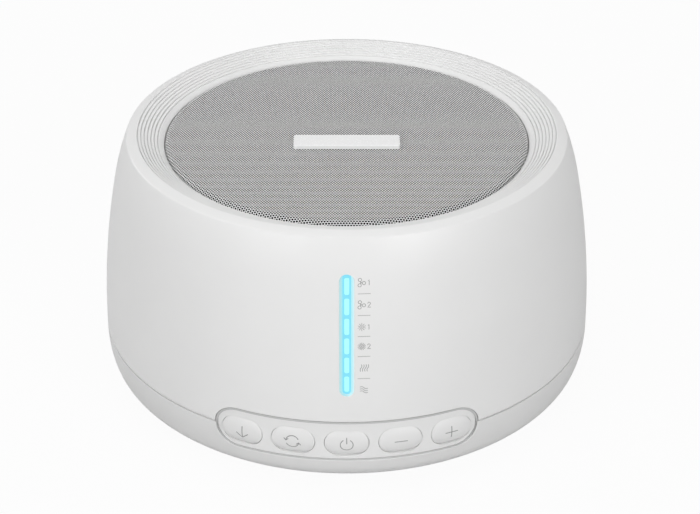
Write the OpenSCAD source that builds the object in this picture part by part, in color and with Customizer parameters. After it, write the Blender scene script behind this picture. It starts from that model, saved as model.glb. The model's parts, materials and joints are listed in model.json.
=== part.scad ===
// White noise sound machine: a round drum that stands on a table, with one loudspeaker facing up
// under a perforated steel grille, a recessed light bar and a row of five push buttons on the seam.
// Millimetres, +Z up, the front faces -Y, and the origin is the middle of the resting plane.

/* [Body] */
// Diameter of the body at its widest point
body_d = 112; // [108:0.5:118]
// Height of the rim crest above the table
body_h = 60; // [58.5:0.5:62]
// Thickness of the moulded walls
wall = 2.2; // [1.8:0.1:2.6]
// Height of the widest point above the table
belly_z = 11.9; // [11:0.1:12.8]
// Radius of the upright curve of the side
side_arc_r = 186; // [165:1:240]
// Depth of the centre of the shoulder's sphere below the rim crest
shoulder_drop = 21.2; // [19.5:0.1:23]
// Radius of the inward curve below the widest point
flare_r = 18.8; // [17:0.1:22]
// Radius of the heel where the side turns into the underside
heel_r = 6.5; // [5.5:0.1:7.5]
// Height of the underside above the table
base_z = 1.7; // [1.2:0.1:2.2]

/* [Seam] */
// Height of the seam between base and housing
seam_z = 13.6; // [13:0.1:14.2]
// Width of the shadow gap along the seam
seam_gap = 0.4; // [0.2:0.05:0.5]
// Height of the tongue that aligns the two shells
tongue_h = 2; // [1.5:0.1:3]
// Clearance between lapped or nested parts
fit_gap = 0.1; // [0.05:0.01:0.2]

/* [Rim] */
// Width of the bevel outside the rim crest
lip_w = 2.25; // [1.8:0.05:2.6]
// Slope of that bevel in degrees
lip_slope = 17; // [12:1:22]
// Width of the stepped band inside the crest
band_w = 4.9; // [4.6:0.1:5.4]
// Depth that the stepped band falls
band_drop = 2; // [1.6:0.1:2.4]
// Width of the smooth ring between band and grille
ring_w = 1.15; // [0.9:0.05:1.4]
// Depth that the smooth ring falls
ring_drop = 0.9; // [0.6:0.1:1.2]
// Number of steps in the band
step_count = 7; // [5:1:8]
// Distance from the crest to the first step
step_start = 0.1; // [0.06:0.02:0.2]
// Width of the smooth ridge inside the last step
ridge_w = 0.45; // [0.3:0.05:0.7]
// Height of a step
step_h = 0.2; // [0.12:0.01:0.24]
// Width of the slope that a step falls along
step_slope_w = 0.2; // [0.05:0.01:0.24]

/* [Grille] */
// Clearance round the grille
grille_gap = 0.1; // [0.05:0.05:0.3]
// Depth of the grille face below the rim crest
grille_sink = 2.1; // [1.8:0.1:2.4]
// Height of the grille dish
grille_h = 3.4; // [3:0.1:4]
// Thickness of the steel sheet
sheet_t = 0.6; // [0.5:0.05:0.8]
// Outer radius of the bend at the edge of the grille
bend_r = 1.5; // [1.2:0.1:2.2]
// Distance between holes in the grille
perf_pitch = 3; // [2.6:0.1:4]
// Diameter of the holes in the grille
perf_d = 1.9; // [1.2:0.1:2.1]
// Thickness of the cloth under the grille
cloth_t = 0.3; // [0.2:0.05:0.4]

/* [Nameplate] */
// Width of the plate
plate_w = 23.6; // [20:0.2:28]
// Height of the plate as it is read
plate_h = 5.6; // [5:0.1:7]
// Thickness of the plate
plate_t = 0.8; // [0.5:0.05:1]
// Radius of the corners of the plate
plate_corner_r = 0.6; // [0.4:0.1:1.2]
// Distance of the plate's centre in front of the axis
plate_forward = 4.4; // [2:0.1:6]

/* [Button panel] */
// Margin of the capsule-shaped opening above and below a button
capsule_margin = 1.9; // [1.75:0.05:2.1]
// Margin of that opening beyond the end buttons
capsule_end = 1.25; // [1.1:0.05:1.5]
// Distance of the capsule's centre below the seam
capsule_drop = 0.35; // [0.1:0.05:0.5]
// Width of the seal ring round the panel
seal_w = 0.55; // [0.4:0.05:0.8]
// Depth of the seal ring below the widest point
seal_sink = 0.45; // [0.3:0.05:0.6]
// Depth of the panel face below the widest point
panel_sink = 0.7; // [0.5:0.05:0.9]
// Thickness of the panel
panel_t = 1.8; // [1.4:0.1:2]
// Width of the rim behind the panel
panel_rim = 0.8; // [0.7:0.05:0.9]
// Reach of the flange behind the shells
panel_flange = 1.5; // [1:0.1:1.8]

/* [Buttons] */
// Width of a button
button_w = 9.35; // [8.8:0.05:9.8]
// Height of a button
button_h = 6.3; // [5.8:0.1:6.8]
// Gap round a button
button_gap = 0.12; // [0.1:0.02:0.2]
// Space between neighbouring buttons
button_space = 2.3; // [2:0.05:2.6]
// Distance of the buttons' centres below the capsule's centre
button_drop = 0.5; // [0.3:0.05:0.6]
// Depth of a button's crown below the widest point
crown_sink = 0.1; // [0:0.05:0.3]
// Radius of the dome across the row of buttons
dome_r = 9; // [8:0.5:14]
// Reach of the flange that keeps a button in
button_flange = 0.4; // [0.3:0.05:0.45]
// Thickness of that flange
button_flange_t = 0.8; // [0.6:0.05:1]
// Distance that a button travels
button_travel = 0.6; // [0.3:0.05:0.7]
// Diameter of the stem behind a button
stem_d = 3; // [2.4:0.1:3.6]
// Length of the stem behind a button
stem_l = 1.6; // [1.3:0.1:2.2]

/* [Light bar] */
// Width of the slot
slot_w = 2.8; // [2.4:0.1:3.4]
// Depth of the top of the slot below the rim crest
slot_drop = 8.1; // [7.5:0.1:9]
// Height of the foot of the slot above the seam
slot_lift = 11.3; // [10.8:0.1:12.2]
// Depth of the window below the surface
window_sink = 0.8; // [0.5:0.05:1.2]
// Number of lights
light_count = 6; // [4:1:6]
// Distance of the row of lights inside each end of the slot
light_end = 0.39; // [0.2:0.01:0.6]
// Wall between two light channels
channel_wall = 0.7; // [0.6:0.05:1.2]
// Width of a light channel
channel_w = 2.4; // [2:0.1:3]
// Width of the light baffle
baffle_w = 9; // [8:0.1:11]
// Margin of the baffle above and below the slot
baffle_margin = 1.6; // [1.2:0.1:2]
// Depth of the baffle, from inside the wall at the widest point
baffle_depth = 8.3; // [8:0.1:9]
// Thickness of the light board
light_board_t = 1.2; // [1:0.1:1.4]
// Thickness of the rails beside the baffle
rail_t = 1.2; // [1:0.1:2]

/* [Loudspeaker] */
// Diameter of the loudspeaker over its flange
speaker_d = 68; // [65:0.5:70]
// Width of the flange
flange_w = 7; // [6.5:0.1:7.5]
// Thickness of the pressed steel frame
frame_t = 1.2; // [1:0.1:1.4]
// Depth of the basket under the flange
basket_h = 17.5; // [16.5:0.1:18.5]
// Radius of the basket at its foot
basket_foot_r = 18.2; // [17.6:0.1:19]
// Thickness of the gasket
gasket_t = 1; // [0.8:0.1:1.4]
// Width of the roll of the surround
roll_w = 4.8; // [4.4:0.1:5.2]
// Thickness of the surround, the spider and the dust cap
skin_t = 0.5; // [0.4:0.05:0.6]
// Thickness of the paper cone
cone_t = 0.7; // [0.6:0.05:0.9]
// Depth of the paper cone
cone_h = 9.7; // [9:0.1:10.4]
// Radius of the voice coil
coil_r = 6.1; // [5.8:0.05:6.4]
// Wall of the voice coil
coil_t = 0.5; // [0.4:0.05:0.6]
// Distance that the diaphragm moves each way
cone_travel = 1.5; // [1:0.1:2]
// Diameter of the ring magnet
magnet_d = 34; // [30:0.5:38]
// Height of the ring magnet
magnet_h = 7; // [6:0.1:8]
// Thickness of the two pole plates
pole_plate_t = 2; // [1.6:0.1:2.4]

/* [Circuit board] */
// Height of the audio jack, which sets the height of the board
jack_h = 5; // [4.6:0.1:5.4]
// Thickness of the board
board_t = 1.6; // [1.4:0.1:1.8]
// Width and depth of a push switch
switch_w = 6; // [5:0.1:6.5]
// Depth of a push switch along its plunger
switch_l = 3.6; // [3.2:0.1:4]
// Diameter of a switch plunger
plunger_d = 1.8; // [1.4:0.1:2.2]
// Length of a switch plunger
plunger_l = 2.4; // [2.2:0.1:2.8]
// Sideways distance of each port from the middle
port_x = 9; // [8.5:0.1:12]
// Depth of the USB mouth inside the widest point
usb_sink = 2; // [1.6:0.1:2.4]
// Depth of the audio jack's mouth inside the widest point
jack_sink = 2.7; // [2.2:0.1:3.2]

/* [Fixings] */
// Distance of the case screws inside the widest point
boss_inset = 12; // [11.4:0.1:13]
// Diameter of the screw bosses
boss_d = 7; // [6.4:0.1:7.4]
// Diameter of a case screw
case_screw_d = 2.5; // [2.2:0.1:3]
// Length of a case screw under its head
case_screw_l = 18; // [14:0.5:20]
// Diameter of the small screws
small_screw_d = 1.8; // [1.6:0.1:2]
// Diameter of a foot
foot_d = 10; // [8:0.1:12]
// Distance of the feet inside the widest point
foot_inset = 16; // [14:0.5:20]
// Depth of the pocket that holds a foot
foot_pocket = 0.6; // [0.4:0.05:0.8]

/* [Hidden] */

$fn = 64;
// Facets of the long curves of the body
curve_fn = 240;
// Step that keeps two smooth curves from running into each other edge on edge
join_step = 0.005;

// Body outline: side arc, shoulder sphere, flare and heel, each tangent to the next
body_r = body_d / 2;
side_cx = body_r - side_arc_r;
shoulder_z = body_h - shoulder_drop;
shoulder_dz = shoulder_z - belly_z;
shoulder_r = side_arc_r - norm([side_cx, shoulder_dz]) - join_step;
shoulder_join_z = belly_z + side_arc_r * shoulder_dz / norm([side_cx, shoulder_dz]);
flare_cx = body_r - flare_r;
heel_cz = base_z + heel_r;
heel_cx = flare_cx + sqrt(pow(flare_r - heel_r, 2) - pow(belly_z - heel_cz, 2));
heel_join_z = belly_z - flare_r * (belly_z - heel_cz) / (flare_r - heel_r);
floor_z = base_z + wall;

// Rim, read from outside to inside
function drop_at(slope, width) = width * tan(slope);
lip_z = body_h - drop_at(lip_slope, lip_w);
crest_r = sqrt(pow(shoulder_r, 2) - pow(lip_z - shoulder_z, 2)) - lip_w;
band_r = crest_r - band_w;
band_z = body_h - band_drop;
recess_r = band_r - ring_w;
ring_z = band_z - ring_drop;
band_l = norm([band_w, band_drop]);
step_pitch = (band_l - step_start - ridge_w) / (step_count - 1);

// Grille and the ledge that carries it
grille_r = recess_r - grille_gap;
grille_z = body_h - grille_sink;
grille_flat_r = grille_r - bend_r;
perf_zone_r = grille_flat_r - perf_d / 2 - sheet_t;
ledge_z = grille_z - grille_h;
ledge_t = 2;
ledge_under_z = ledge_z - ledge_t;
roof_z = band_z - wall;

// Seam
tongue_r = body_r - wall / 2;

// Radius of the inner face of the walls at a height
function inner_r_at(z) = z < heel_join_z
  ? heel_cx + sqrt(pow(heel_r - join_step - wall, 2) - pow(heel_cz - z, 2))
  : z < belly_z
  ? flare_cx + sqrt(pow(flare_r - wall, 2) - pow(belly_z - z, 2))
  : side_cx + sqrt(pow(side_arc_r - wall, 2) - pow(z - belly_z, 2));

// Circles of fixings
boss_circle_r = body_r - boss_inset;
foot_circle_r = body_r - foot_inset;

// Button panel and buttons, read from outside to inside along a radius
seal_step = 0.7;
panel_lip_t = 1;
opening_reach = 6;
plunger_clear = 0.6;
bore_clear = 0.3;
button_angle = 2 * asin((button_w + button_space) / body_d);
end_angle = 2 * button_angle;
capsule_w = 2 * (body_r * sin(end_angle) + button_w / 2 * cos(end_angle) + capsule_end);
capsule_h = button_h + 2 * capsule_margin;
capsule_z = seam_z - capsule_drop;
button_z = capsule_z - button_drop;
panel_r = body_r - panel_sink;
panel_back_r = panel_r - panel_t;
seal_r = body_r - seal_sink;
flange_half_h = capsule_h / 2 + panel_flange;
flange_r = min(inner_r_at(capsule_z - flange_half_h), inner_r_at(capsule_z + flange_half_h)) - fit_gap;
panel_rear_r = flange_r - panel_lip_t;
panel_step_r = panel_back_r + seal_step;
capsule_near = boss_circle_r - opening_reach;
crown_r = body_r - crown_sink;
button_front_r = sqrt(pow(panel_back_r, 2) - pow(button_w / 2 + button_flange, 2)) - 2 * fit_gap;
button_back_r = button_front_r - button_flange_t;
stem_end_r = button_back_r - stem_l;
switch_face_r = stem_end_r - button_travel - plunger_clear;
plunger_end_r = stem_end_r - plunger_l;
plunger_bore_end_r = plunger_end_r - button_travel - bore_clear;
plunger_bore_d = plunger_d + 2 * fit_gap;

// Circuit board, carried high enough for the audio jack under it
jack_floor_gap = 0.2;
board_edge_gap = 1;
board_lift = jack_h + jack_floor_gap;
board_z = floor_z + board_lift;
board_top_z = board_z + board_t;
board_r = boss_circle_r - boss_d / 2 - board_edge_gap;
board_lobe_r = switch_face_r - 2 * bore_clear;
lobe_margin_angle = 7.6;
front_lobe_angle = end_angle + lobe_margin_angle;
rear_lobe_angle = 20;
post_inset = 6.5;
post_circle_r = board_r - post_inset;
post_angle = 20;
post_d = 6;
small_hole_d = small_screw_d + 6 * fit_gap;
small_head_d = 2 * small_screw_d + 4 * fit_gap;
small_head_h = 1.3;
board_screw_l = 4.4;
chip_w = 7;
chip_h = 1;
can_d = 6.3;
can_h = 7.7;
can_pitch = 8;

// Light bar
slot_low_z = seam_z + slot_lift;
slot_h = body_h - slot_drop - slot_low_z;
slot_z = slot_low_z + slot_h / 2;
light_pitch = (slot_h - 2 * light_end) / light_count;
channel_h = light_pitch - channel_wall;
baffle_h = slot_h + 2 * baffle_margin;
baffle_low_z = slot_z - baffle_h / 2;
baffle_back = body_r - wall - baffle_depth;
light_board_back = baffle_back - light_board_t;
led_w = 2;
led_t = 0.8;
led_gap = 0.45;
led_h = channel_h - 2 * led_gap;
ribbon_w = 5;
ribbon_t = 0.4;
ribbon_lap = 7;
ribbon_top_z = baffle_low_z + ribbon_lap;
light_connector_w = 8;
light_connector_l = 3.8;
light_connector_h = 3;
light_connector_lap = 0.5;
rail_hook_h = 3;
rail_hook_w = 0.8;

// Loudspeaker, read from the ledge down
speaker_r = speaker_d / 2;
flange_lap = 4.5;
speaker_hole_r = speaker_r - flange_lap;
flange_top_z = ledge_under_z - gasket_t;
flange_low_z = flange_top_z - frame_t;
flange_in_r = speaker_r - flange_w;
basket_flare = 2;
basket_top_r = flange_in_r + basket_flare;
basket_low_z = flange_low_z - basket_h;
basket_floor_z = basket_low_z + frame_t;
basket_slope = (basket_top_r - basket_foot_r) / basket_h;
shelf_h = 2.6;
shelf_w = 1.6;
shelf_z = basket_floor_z + shelf_h;
shelf_r = basket_foot_r - shelf_w;
spider_r = basket_foot_r + basket_slope * (shelf_z - basket_low_z) - frame_t - fit_gap;
coil_gap = 0.5;
basket_hole_r = coil_r + 1.4;
window_w = 11;
window_margin = 1.6;
top_plate_z = basket_low_z - pole_plate_t;
magnet_z = top_plate_z - magnet_h;
magnet_in_r = coil_r + 3;
yoke_z = magnet_z - pole_plate_t;
plate_step = 3;
yoke_step = 2;
edge_lap = 0.4;
roll_out_r = flange_in_r + edge_lap;
roll_mid_r = roll_out_r - roll_w / 2;
cone_edge_r = roll_out_r - roll_w + edge_lap;
cone_rim_w = 2;
cone_neck_z = flange_top_z - cone_h;
coil_end_gap = 1.6;
pole_r = coil_r - coil_t - edge_lap;
cap_r = 8;
cap_dome_r = 12;
spider_wave_h = 0.5;
speaker_screw_inset = 2.6;
speaker_screw_circle_r = speaker_r - speaker_screw_inset;
speaker_screw_l = 3.9;
terminal_x = speaker_r - 2.4;
terminal_w = 8;
terminal_t = 3;
terminal_l = 4;
plug_w = 6;
plug_h = 5;
wire_d = 1.3;
wire_y = 2;

// Ports at the back
usb_w = 8.94;
usb_h = 3.26;
usb_l = 7.35;
usb_wall = 0.3;
usb_z = board_z - usb_h / 2;
usb_mouth_y = body_r - usb_sink;
usb_tongue_w = 6.6;
usb_tongue_t = 0.7;
jack_w = 6.4;
jack_z = board_z - jack_h / 2;
jack_mouth_y = body_r - jack_sink;
jack_barrel_l = 5.9;
jack_barrel_d = 4.8;
jack_body_l = 11.4;
jack_body_front_y = jack_mouth_y - jack_barrel_l;
jack_body_back_y = jack_body_front_y - jack_body_l;
jack_bore_d = 3.6;
jack_bore_l = 14;
port_gap = 0.25;

// Case screws and feet
case_head_d = 2 * case_screw_d + 2 * fit_gap;
case_head_h = 1.8;
case_seat_h = 5;
case_head_z = base_z + case_seat_h;
case_pilot_top_z = case_head_z + case_screw_l + 1;
boss_roof = 3;
boss_top_z = case_pilot_top_z + boss_roof;
foot_chamfer = 0.5;

// ---------- Shared shapes ----------

// Solid half-section of the body, inset evenly all round
module body_section(inset) {
  intersection() {
    translate([0, belly_z]) square([body_d, body_h]);
    translate([side_cx, belly_z]) circle(side_arc_r - inset, $fn = 3 * curve_fn);
    union() {
      square([body_d, shoulder_join_z]);
      translate([0, shoulder_z]) circle(shoulder_r - inset, $fn = curve_fn);
    }
  }
  intersection() {
    translate([0, heel_join_z]) square([body_d, belly_z - heel_join_z]);
    union() {
      square([flare_cx, belly_z]);
      translate([flare_cx, belly_z]) circle(flare_r - inset, $fn = curve_fn);
    }
  }
  intersection() {
    translate([0, base_z + inset]) square([body_d, heel_join_z - base_z - inset]);
    union() {
      square([heel_cx, heel_join_z]);
      translate([heel_cx, heel_cz]) circle(heel_r - join_step - inset);
    }
  }
}

// Slot outline with round ends
module stadium(w, h) {
  square([w - h, h - 2 * join_step], center = true);
  for (side = [-1, 1]) translate([side * (w - h) / 2, 0]) circle(d = h);
}

// A flat outline in X and Z, drawn out from y = 0 towards the front
module to_front(length) {
  rotate([90, 0, 0]) linear_extrude(length) children();
}

// A flat outline in X and Z between two distances in front of the axis
module front_slice(near, far) {
  translate([0, -near, 0]) to_front(far - near) children();
}

// A flat outline in X and Z between two distances behind the axis
module rear_slice(near, far) {
  translate([0, far, 0]) to_front(far - near) children();
}

// Upright tube
module tube(r_in, r_out, h) {
  linear_extrude(h) difference() {
    circle(r_out, $fn = curve_fn);
    circle(r_in, $fn = curve_fn);
  }
}

// Children at the four corners of a circle, the first one turned by start degrees
module four_around(radius, start) {
  for (turn = [0 : 90 : 270]) rotate([0, 0, start + turn]) translate([radius, 0, 0]) children();
}

// Children at the four places that mirror one angle
module mirrored_four(radius, angle) {
  for (turn = [angle, 180 - angle, 180 + angle, 360 - angle])
    rotate([0, 0, turn]) translate([radius, 0, 0]) children();
}

// Screw that points up, its head below z = 0
module screw_up(shaft_d, length, head_d, head_h) {
  cylinder(d = shaft_d, h = length);
  difference() {
    translate([0, 0, -head_h]) cylinder(d = head_d, h = head_h);
    translate([0, 0, -head_h]) cylinder(d = shaft_d, h = head_h / 2, $fn = 6);
  }
}

// Top or bottom corner of a step in the band, counted from the crest
function step_corner(i, low) = [crest_r, body_h]
  - (i * step_pitch + step_start) / band_l * [band_w, band_drop]
  - (low ? [step_slope_w, step_h] : [0, 0]);

// Everything above the rim and inside the grille recess, as a half-section
module rim_void() {
  polygon(concat(
    [[0, ledge_z], [recess_r, ledge_z], [recess_r, ring_z], [band_r, band_z]],
    [for (i = [step_count - 1 : -1 : 0], low = [true, false]) step_corner(i, low)],
    [[crest_r, body_h], [body_d, body_h - drop_at(lip_slope, body_d - crest_r)], [body_d, 2 * body_h],
      [0, 2 * body_h]]
  ));
}

// Outline of the capsule-shaped opening, grown or shrunk all round
module capsule(grow) {
  translate([0, capsule_z]) stadium(capsule_w + 2 * grow, capsule_h + 2 * grow);
}

// Outline of the light slot, grown or shrunk all round
module slot_outline(grow) {
  translate([0, slot_z]) rotate(90) stadium(slot_h + 2 * grow, slot_w + 2 * grow);
}

// Children turned to the place of a button, 0 in the middle and +2 at the right
module at_button(place) {
  rotate([0, 0, place * button_angle]) translate([0, 0, button_z]) children();
}

// Outline of the board: a disc with a lobe for the switches and one for the ports
module board_outline() {
  circle(board_r, $fn = curve_fn);
  intersection() {
    circle(board_lobe_r, $fn = curve_fn);
    union() {
      polygon([[0, 0], wedge_corner(-front_lobe_angle), wedge_corner(front_lobe_angle)]);
      polygon([[0, 0], wedge_corner(180 - rear_lobe_angle), wedge_corner(180 + rear_lobe_angle)]);
    }
  }
}

// Corner of a wedge at an angle from the front
function wedge_corner(angle) = body_d * [sin(angle), -cos(angle)];

// ---------- Shells ----------

module housing_section() {
  difference() {
    intersection() {
      body_section(0);
      translate([0, seam_z + seam_gap / 2]) square([body_d, body_h]);
    }
    rim_void();
    intersection() {
      body_section(wall);
      polygon([
        [0, 0], [body_d, 0], [body_d, roof_z], [recess_r + wall, roof_z],
        [recess_r + wall, ledge_under_z], [0, ledge_under_z]
      ]);
    }
    square([tongue_r + fit_gap, seam_z + tongue_h]);
    square([speaker_hole_r, body_h]);
  }
}

module light_rails() {
  intersection() {
    rotate_extrude($fn = curve_fn) body_section(wall / 2);
    for (side = [-1, 1]) {
      mid_x = side * (baffle_w / 2 + fit_gap + rail_t / 2);
      translate([mid_x - rail_t / 2, -body_r, baffle_low_z])
        cube([rail_t, body_r - light_board_back + rail_hook_w, baffle_h]);
      translate([mid_x - side * rail_hook_w - rail_t / 2, -light_board_back, slot_z])
        cube([rail_t, rail_hook_w, rail_hook_h]);
    }
  }
}

module housing_bosses() {
  four_around(boss_circle_r, 45) translate([0, 0, seam_z]) cylinder(d = boss_d, h = boss_top_z - seam_z);
  intersection() {
    rotate_extrude($fn = curve_fn) body_section(wall / 2);
    four_around(boss_circle_r, 45) translate([0, -wall / 2, seam_z + tongue_h])
      cube([boss_circle_r, wall, boss_top_z - seam_z - tongue_h]);
  }
}

module upper_housing() {
  color([0.94, 0.94, 0.935]) difference() {
    union() {
      rotate_extrude($fn = curve_fn) housing_section();
      light_rails();
      housing_bosses();
    }
    four_around(boss_circle_r, 45)
      translate([0, 0, seam_z - 1]) cylinder(d = case_screw_d + fit_gap, h = case_pilot_top_z - seam_z + 1);
    four_around(speaker_screw_circle_r, 45)
      translate([0, 0, ledge_under_z - 1]) cylinder(d = small_screw_d + fit_gap, h = ledge_t + 2);
    front_slice(baffle_back - wall, body_r) slot_outline(0);
    front_slice(capsule_near, body_r + 1) capsule(0);
  }
}

module base_shell() {
  color([0.9, 0.9, 0.895]) difference() {
    union() {
      rotate_extrude($fn = curve_fn) difference() {
        intersection() {
          body_section(0);
          union() {
            square([body_d, seam_z - seam_gap / 2]);
            square([tongue_r, seam_z + tongue_h]);
          }
        }
        body_section(wall);
      }
      four_around(boss_circle_r, 45)
        translate([0, 0, base_z + wall / 2]) cylinder(d = boss_d, h = seam_z - base_z - wall / 2);
      mirrored_four(post_circle_r, post_angle)
        translate([0, 0, base_z + wall / 2]) cylinder(d = post_d, h = board_z - base_z - wall / 2);
    }
    four_around(boss_circle_r, 45) {
      cylinder(d = case_head_d + 4 * fit_gap, h = case_head_z);
      cylinder(d = case_screw_d + 5 * fit_gap, h = seam_z + 1);
    }
    mirrored_four(post_circle_r, post_angle)
      translate([0, 0, floor_z]) cylinder(d = small_screw_d + fit_gap, h = board_lift + 1);
    four_around(foot_circle_r, 0) cylinder(d = foot_d + 2 * fit_gap, h = base_z + foot_pocket);
    front_slice(capsule_near, body_r + 1) capsule(0);
    rear_slice(jack_body_front_y, body_r + 1) {
      translate([-port_x, usb_z]) stadium(usb_w + 2 * port_gap, usb_h + 2 * port_gap);
      translate([port_x, jack_z]) circle(d = jack_barrel_d + 2 * port_gap);
    }
  }
}

module feet() {
  foot_h = base_z + foot_pocket;
  color([0.25, 0.25, 0.26]) four_around(foot_circle_r, 0) rotate_extrude()
    polygon([
      [0, 0], [foot_d / 2 - foot_chamfer, 0], [foot_d / 2, foot_chamfer], [foot_d / 2, foot_h], [0, foot_h]
    ]);
}

// ---------- Grille ----------

module grille() {
  row_step = perf_pitch * sin(60);
  row_count = floor(perf_zone_r / row_step);
  column_count = floor(perf_zone_r / perf_pitch) + 1;
  color([0.93, 0.93, 0.93]) {
    translate([0, 0, grille_z - sheet_t]) linear_extrude(sheet_t) difference() {
      circle(grille_flat_r, $fn = curve_fn);
      for (row = [-row_count : row_count], column = [-column_count : column_count]) {
        hole = [(column + (row % 2 == 0 ? 0 : 0.5)) * perf_pitch, row * row_step];
        if (norm(hole) < perf_zone_r) translate(hole) circle(d = perf_d, $fn = 16);
      }
    }
    rotate_extrude($fn = curve_fn) {
      intersection() {
        translate([grille_flat_r, grille_z - bend_r]) difference() {
          circle(bend_r);
          circle(bend_r - sheet_t);
        }
        translate([grille_flat_r, grille_z - bend_r]) square(bend_r + 1);
      }
      translate([grille_r - sheet_t, ledge_z]) square([sheet_t, grille_h - bend_r]);
    }
  }
}

module grille_cloth() {
  color([0.05, 0.05, 0.05]) translate([0, 0, grille_z - sheet_t - cloth_t])
    cylinder(r = grille_flat_r - fit_gap, h = cloth_t, $fn = curve_fn);
}

module nameplate() {
  inner = [plate_w - 2 * plate_corner_r, plate_h - 2 * plate_corner_r];
  color([0.95, 0.95, 0.945]) translate([0, -plate_forward, grille_z]) linear_extrude(plate_t) {
    square([plate_w - 2 * join_step, inner.y], center = true);
    square([inner.x, plate_h - 2 * join_step], center = true);
    for (x = [-1, 1], y = [-1, 1])
      translate([x * inner.x / 2, y * inner.y / 2]) circle(plate_corner_r, $fn = 32);
  }
}

// ---------- Light bar ----------

module light_window() {
  color([0.45, 0.9, 1]) intersection() {
    rotate_extrude($fn = curve_fn) difference() {
      body_section(window_sink);
      body_section(wall);
    }
    front_slice(baffle_back, body_r) slot_outline(-fit_gap / 2);
  }
}

module light_baffle() {
  color([0.85, 0.85, 0.86]) difference() {
    intersection() {
      rotate_extrude($fn = curve_fn) body_section(wall + fit_gap / 2);
      translate([-baffle_w / 2, -body_r, baffle_low_z]) cube([baffle_w, body_r - baffle_back, baffle_h]);
    }
    for (i = [0 : light_count - 1])
      translate([-channel_w / 2, -body_r, light_z(i) - channel_h / 2])
        cube([channel_w, body_r, channel_h]);
  }
}

// Height of one light above the table
function light_z(i) = slot_z + (i - (light_count - 1) / 2) * light_pitch;

module led_board() {
  color([0.1, 0.35, 0.22]) translate([-baffle_w / 2, -baffle_back, baffle_low_z])
    cube([baffle_w, light_board_t, baffle_h]);
}

module leds() {
  color([0.6, 0.95, 1]) for (i = [0 : light_count - 1])
    translate([-led_w / 2, -baffle_back - led_t, light_z(i) - led_h / 2]) cube([led_w, led_t, led_h]);
}

module led_ribbon() {
  color([0.9, 0.9, 0.85]) translate([-ribbon_w / 2, -light_board_back, board_top_z + light_connector_h])
    cube([ribbon_w, ribbon_t, ribbon_top_z - board_top_z - light_connector_h]);
}

module light_connector() {
  color([0.85, 0.82, 0.75])
    translate([-light_connector_w / 2, -light_board_back - light_connector_lap, board_top_z])
      cube([light_connector_w, light_connector_l, light_connector_h]);
}

// ---------- Button panel ----------

// Part of a ring about the axis, between two radii, cut out by an outline seen from the front
module curved_slab(r_in, r_out) {
  intersection() {
    translate([0, 0, capsule_z - capsule_h]) tube(r_in, r_out, 2 * capsule_h);
    front_slice(capsule_near, body_r) children();
  }
}

module button_panel() {
  color([0.88, 0.88, 0.875]) difference() {
    union() {
      curved_slab(panel_rear_r, panel_r) capsule(-seal_w);
      curved_slab(panel_rear_r, panel_step_r) capsule(-fit_gap / 2);
      curved_slab(panel_rear_r, flange_r) capsule(panel_flange);
    }
    curved_slab(panel_rear_r - 1, panel_back_r) capsule(-panel_rim);
    for (place = [-2 : 2]) at_button(place)
      front_slice(capsule_near, body_r) stadium(button_w + 2 * button_gap, button_h + 2 * button_gap);
  }
}

module panel_seal() {
  color([0.7, 0.7, 0.7]) curved_slab(panel_step_r + fit_gap / 2, seal_r) difference() {
    capsule(-fit_gap / 2);
    capsule(fit_gap / 2 - seal_w);
  }
}

module push_button(place) {
  color([0.88, 0.88, 0.875]) at_button(place) {
    intersection() {
      front_slice(button_front_r, body_r + 1) stadium(button_w, button_h);
      rotate_extrude($fn = curve_fn) translate([crown_r - dome_r, 0]) circle(dome_r);
    }
    front_slice(button_back_r, button_front_r)
      stadium(button_w + 2 * button_flange, button_h + 2 * button_flange);
    front_slice(stem_end_r, button_back_r) circle(d = stem_d);
  }
}

module timer_button() { push_button(-2); }
module loop_button() { push_button(-1); }
module power_button() { push_button(0); }
module volume_down_button() { push_button(1); }
module volume_up_button() { push_button(2); }

module plunger(place) {
  color([0.2, 0.2, 0.2]) at_button(place) front_slice(plunger_end_r, stem_end_r) circle(d = plunger_d);
}

module timer_plunger() { plunger(-2); }
module loop_plunger() { plunger(-1); }
module power_plunger() { plunger(0); }
module volume_down_plunger() { plunger(1); }
module volume_up_plunger() { plunger(2); }

module tact_switches() {
  low = board_top_z - button_z;
  color([0.3, 0.3, 0.3]) for (place = [-2 : 2]) at_button(place) difference() {
    translate([-switch_w / 2, -switch_face_r, low]) cube([switch_w, switch_l, switch_w / 2 - low]);
    front_slice(plunger_bore_end_r, switch_face_r + 1) circle(d = plunger_bore_d);
  }
}

// ---------- Circuit board ----------

module main_board() {
  color([0.1, 0.35, 0.22]) difference() {
    translate([0, 0, board_z]) linear_extrude(board_t) board_outline();
    mirrored_four(post_circle_r, post_angle)
      translate([0, 0, board_z - 1]) cylinder(d = small_hole_d, h = board_t + 2);
  }
}

module board_chips() {
  color([0.12, 0.12, 0.12]) translate([0, 0, board_top_z]) {
    translate([-2.5 * chip_w, 0, 0]) cube([chip_w, chip_w, chip_h]);
    translate([chip_w, 1.5 * chip_w, 0]) cube([0.9 * chip_w, 0.7 * chip_w, 1.5 * chip_h]);
    translate([-chip_w, -3 * chip_w, 0]) cube([0.7 * chip_w, 0.6 * chip_w, 1.4 * chip_h]);
  }
}

module board_capacitors() {
  color([0.25, 0.25, 0.3]) for (x = [1, 2])
    translate([x * can_pitch, -magnet_d / 2 - can_d, board_top_z]) cylinder(d = can_d, h = can_h);
}

module speaker_connector() {
  color([0.9, 0.88, 0.8]) translate([terminal_x - plug_w / 2, -terminal_w / 2, board_top_z])
    cube([plug_w, terminal_w, plug_h]);
}

module usb_port() {
  color([0.75, 0.75, 0.77]) difference() {
    rear_slice(usb_mouth_y - usb_l, usb_mouth_y) translate([-port_x, usb_z]) stadium(usb_w, usb_h);
    rear_slice(usb_mouth_y - usb_l + usb_wall, usb_mouth_y + 1)
      translate([-port_x, usb_z]) stadium(usb_w - 2 * usb_wall, usb_h - 2 * usb_wall);
  }
}

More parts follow.
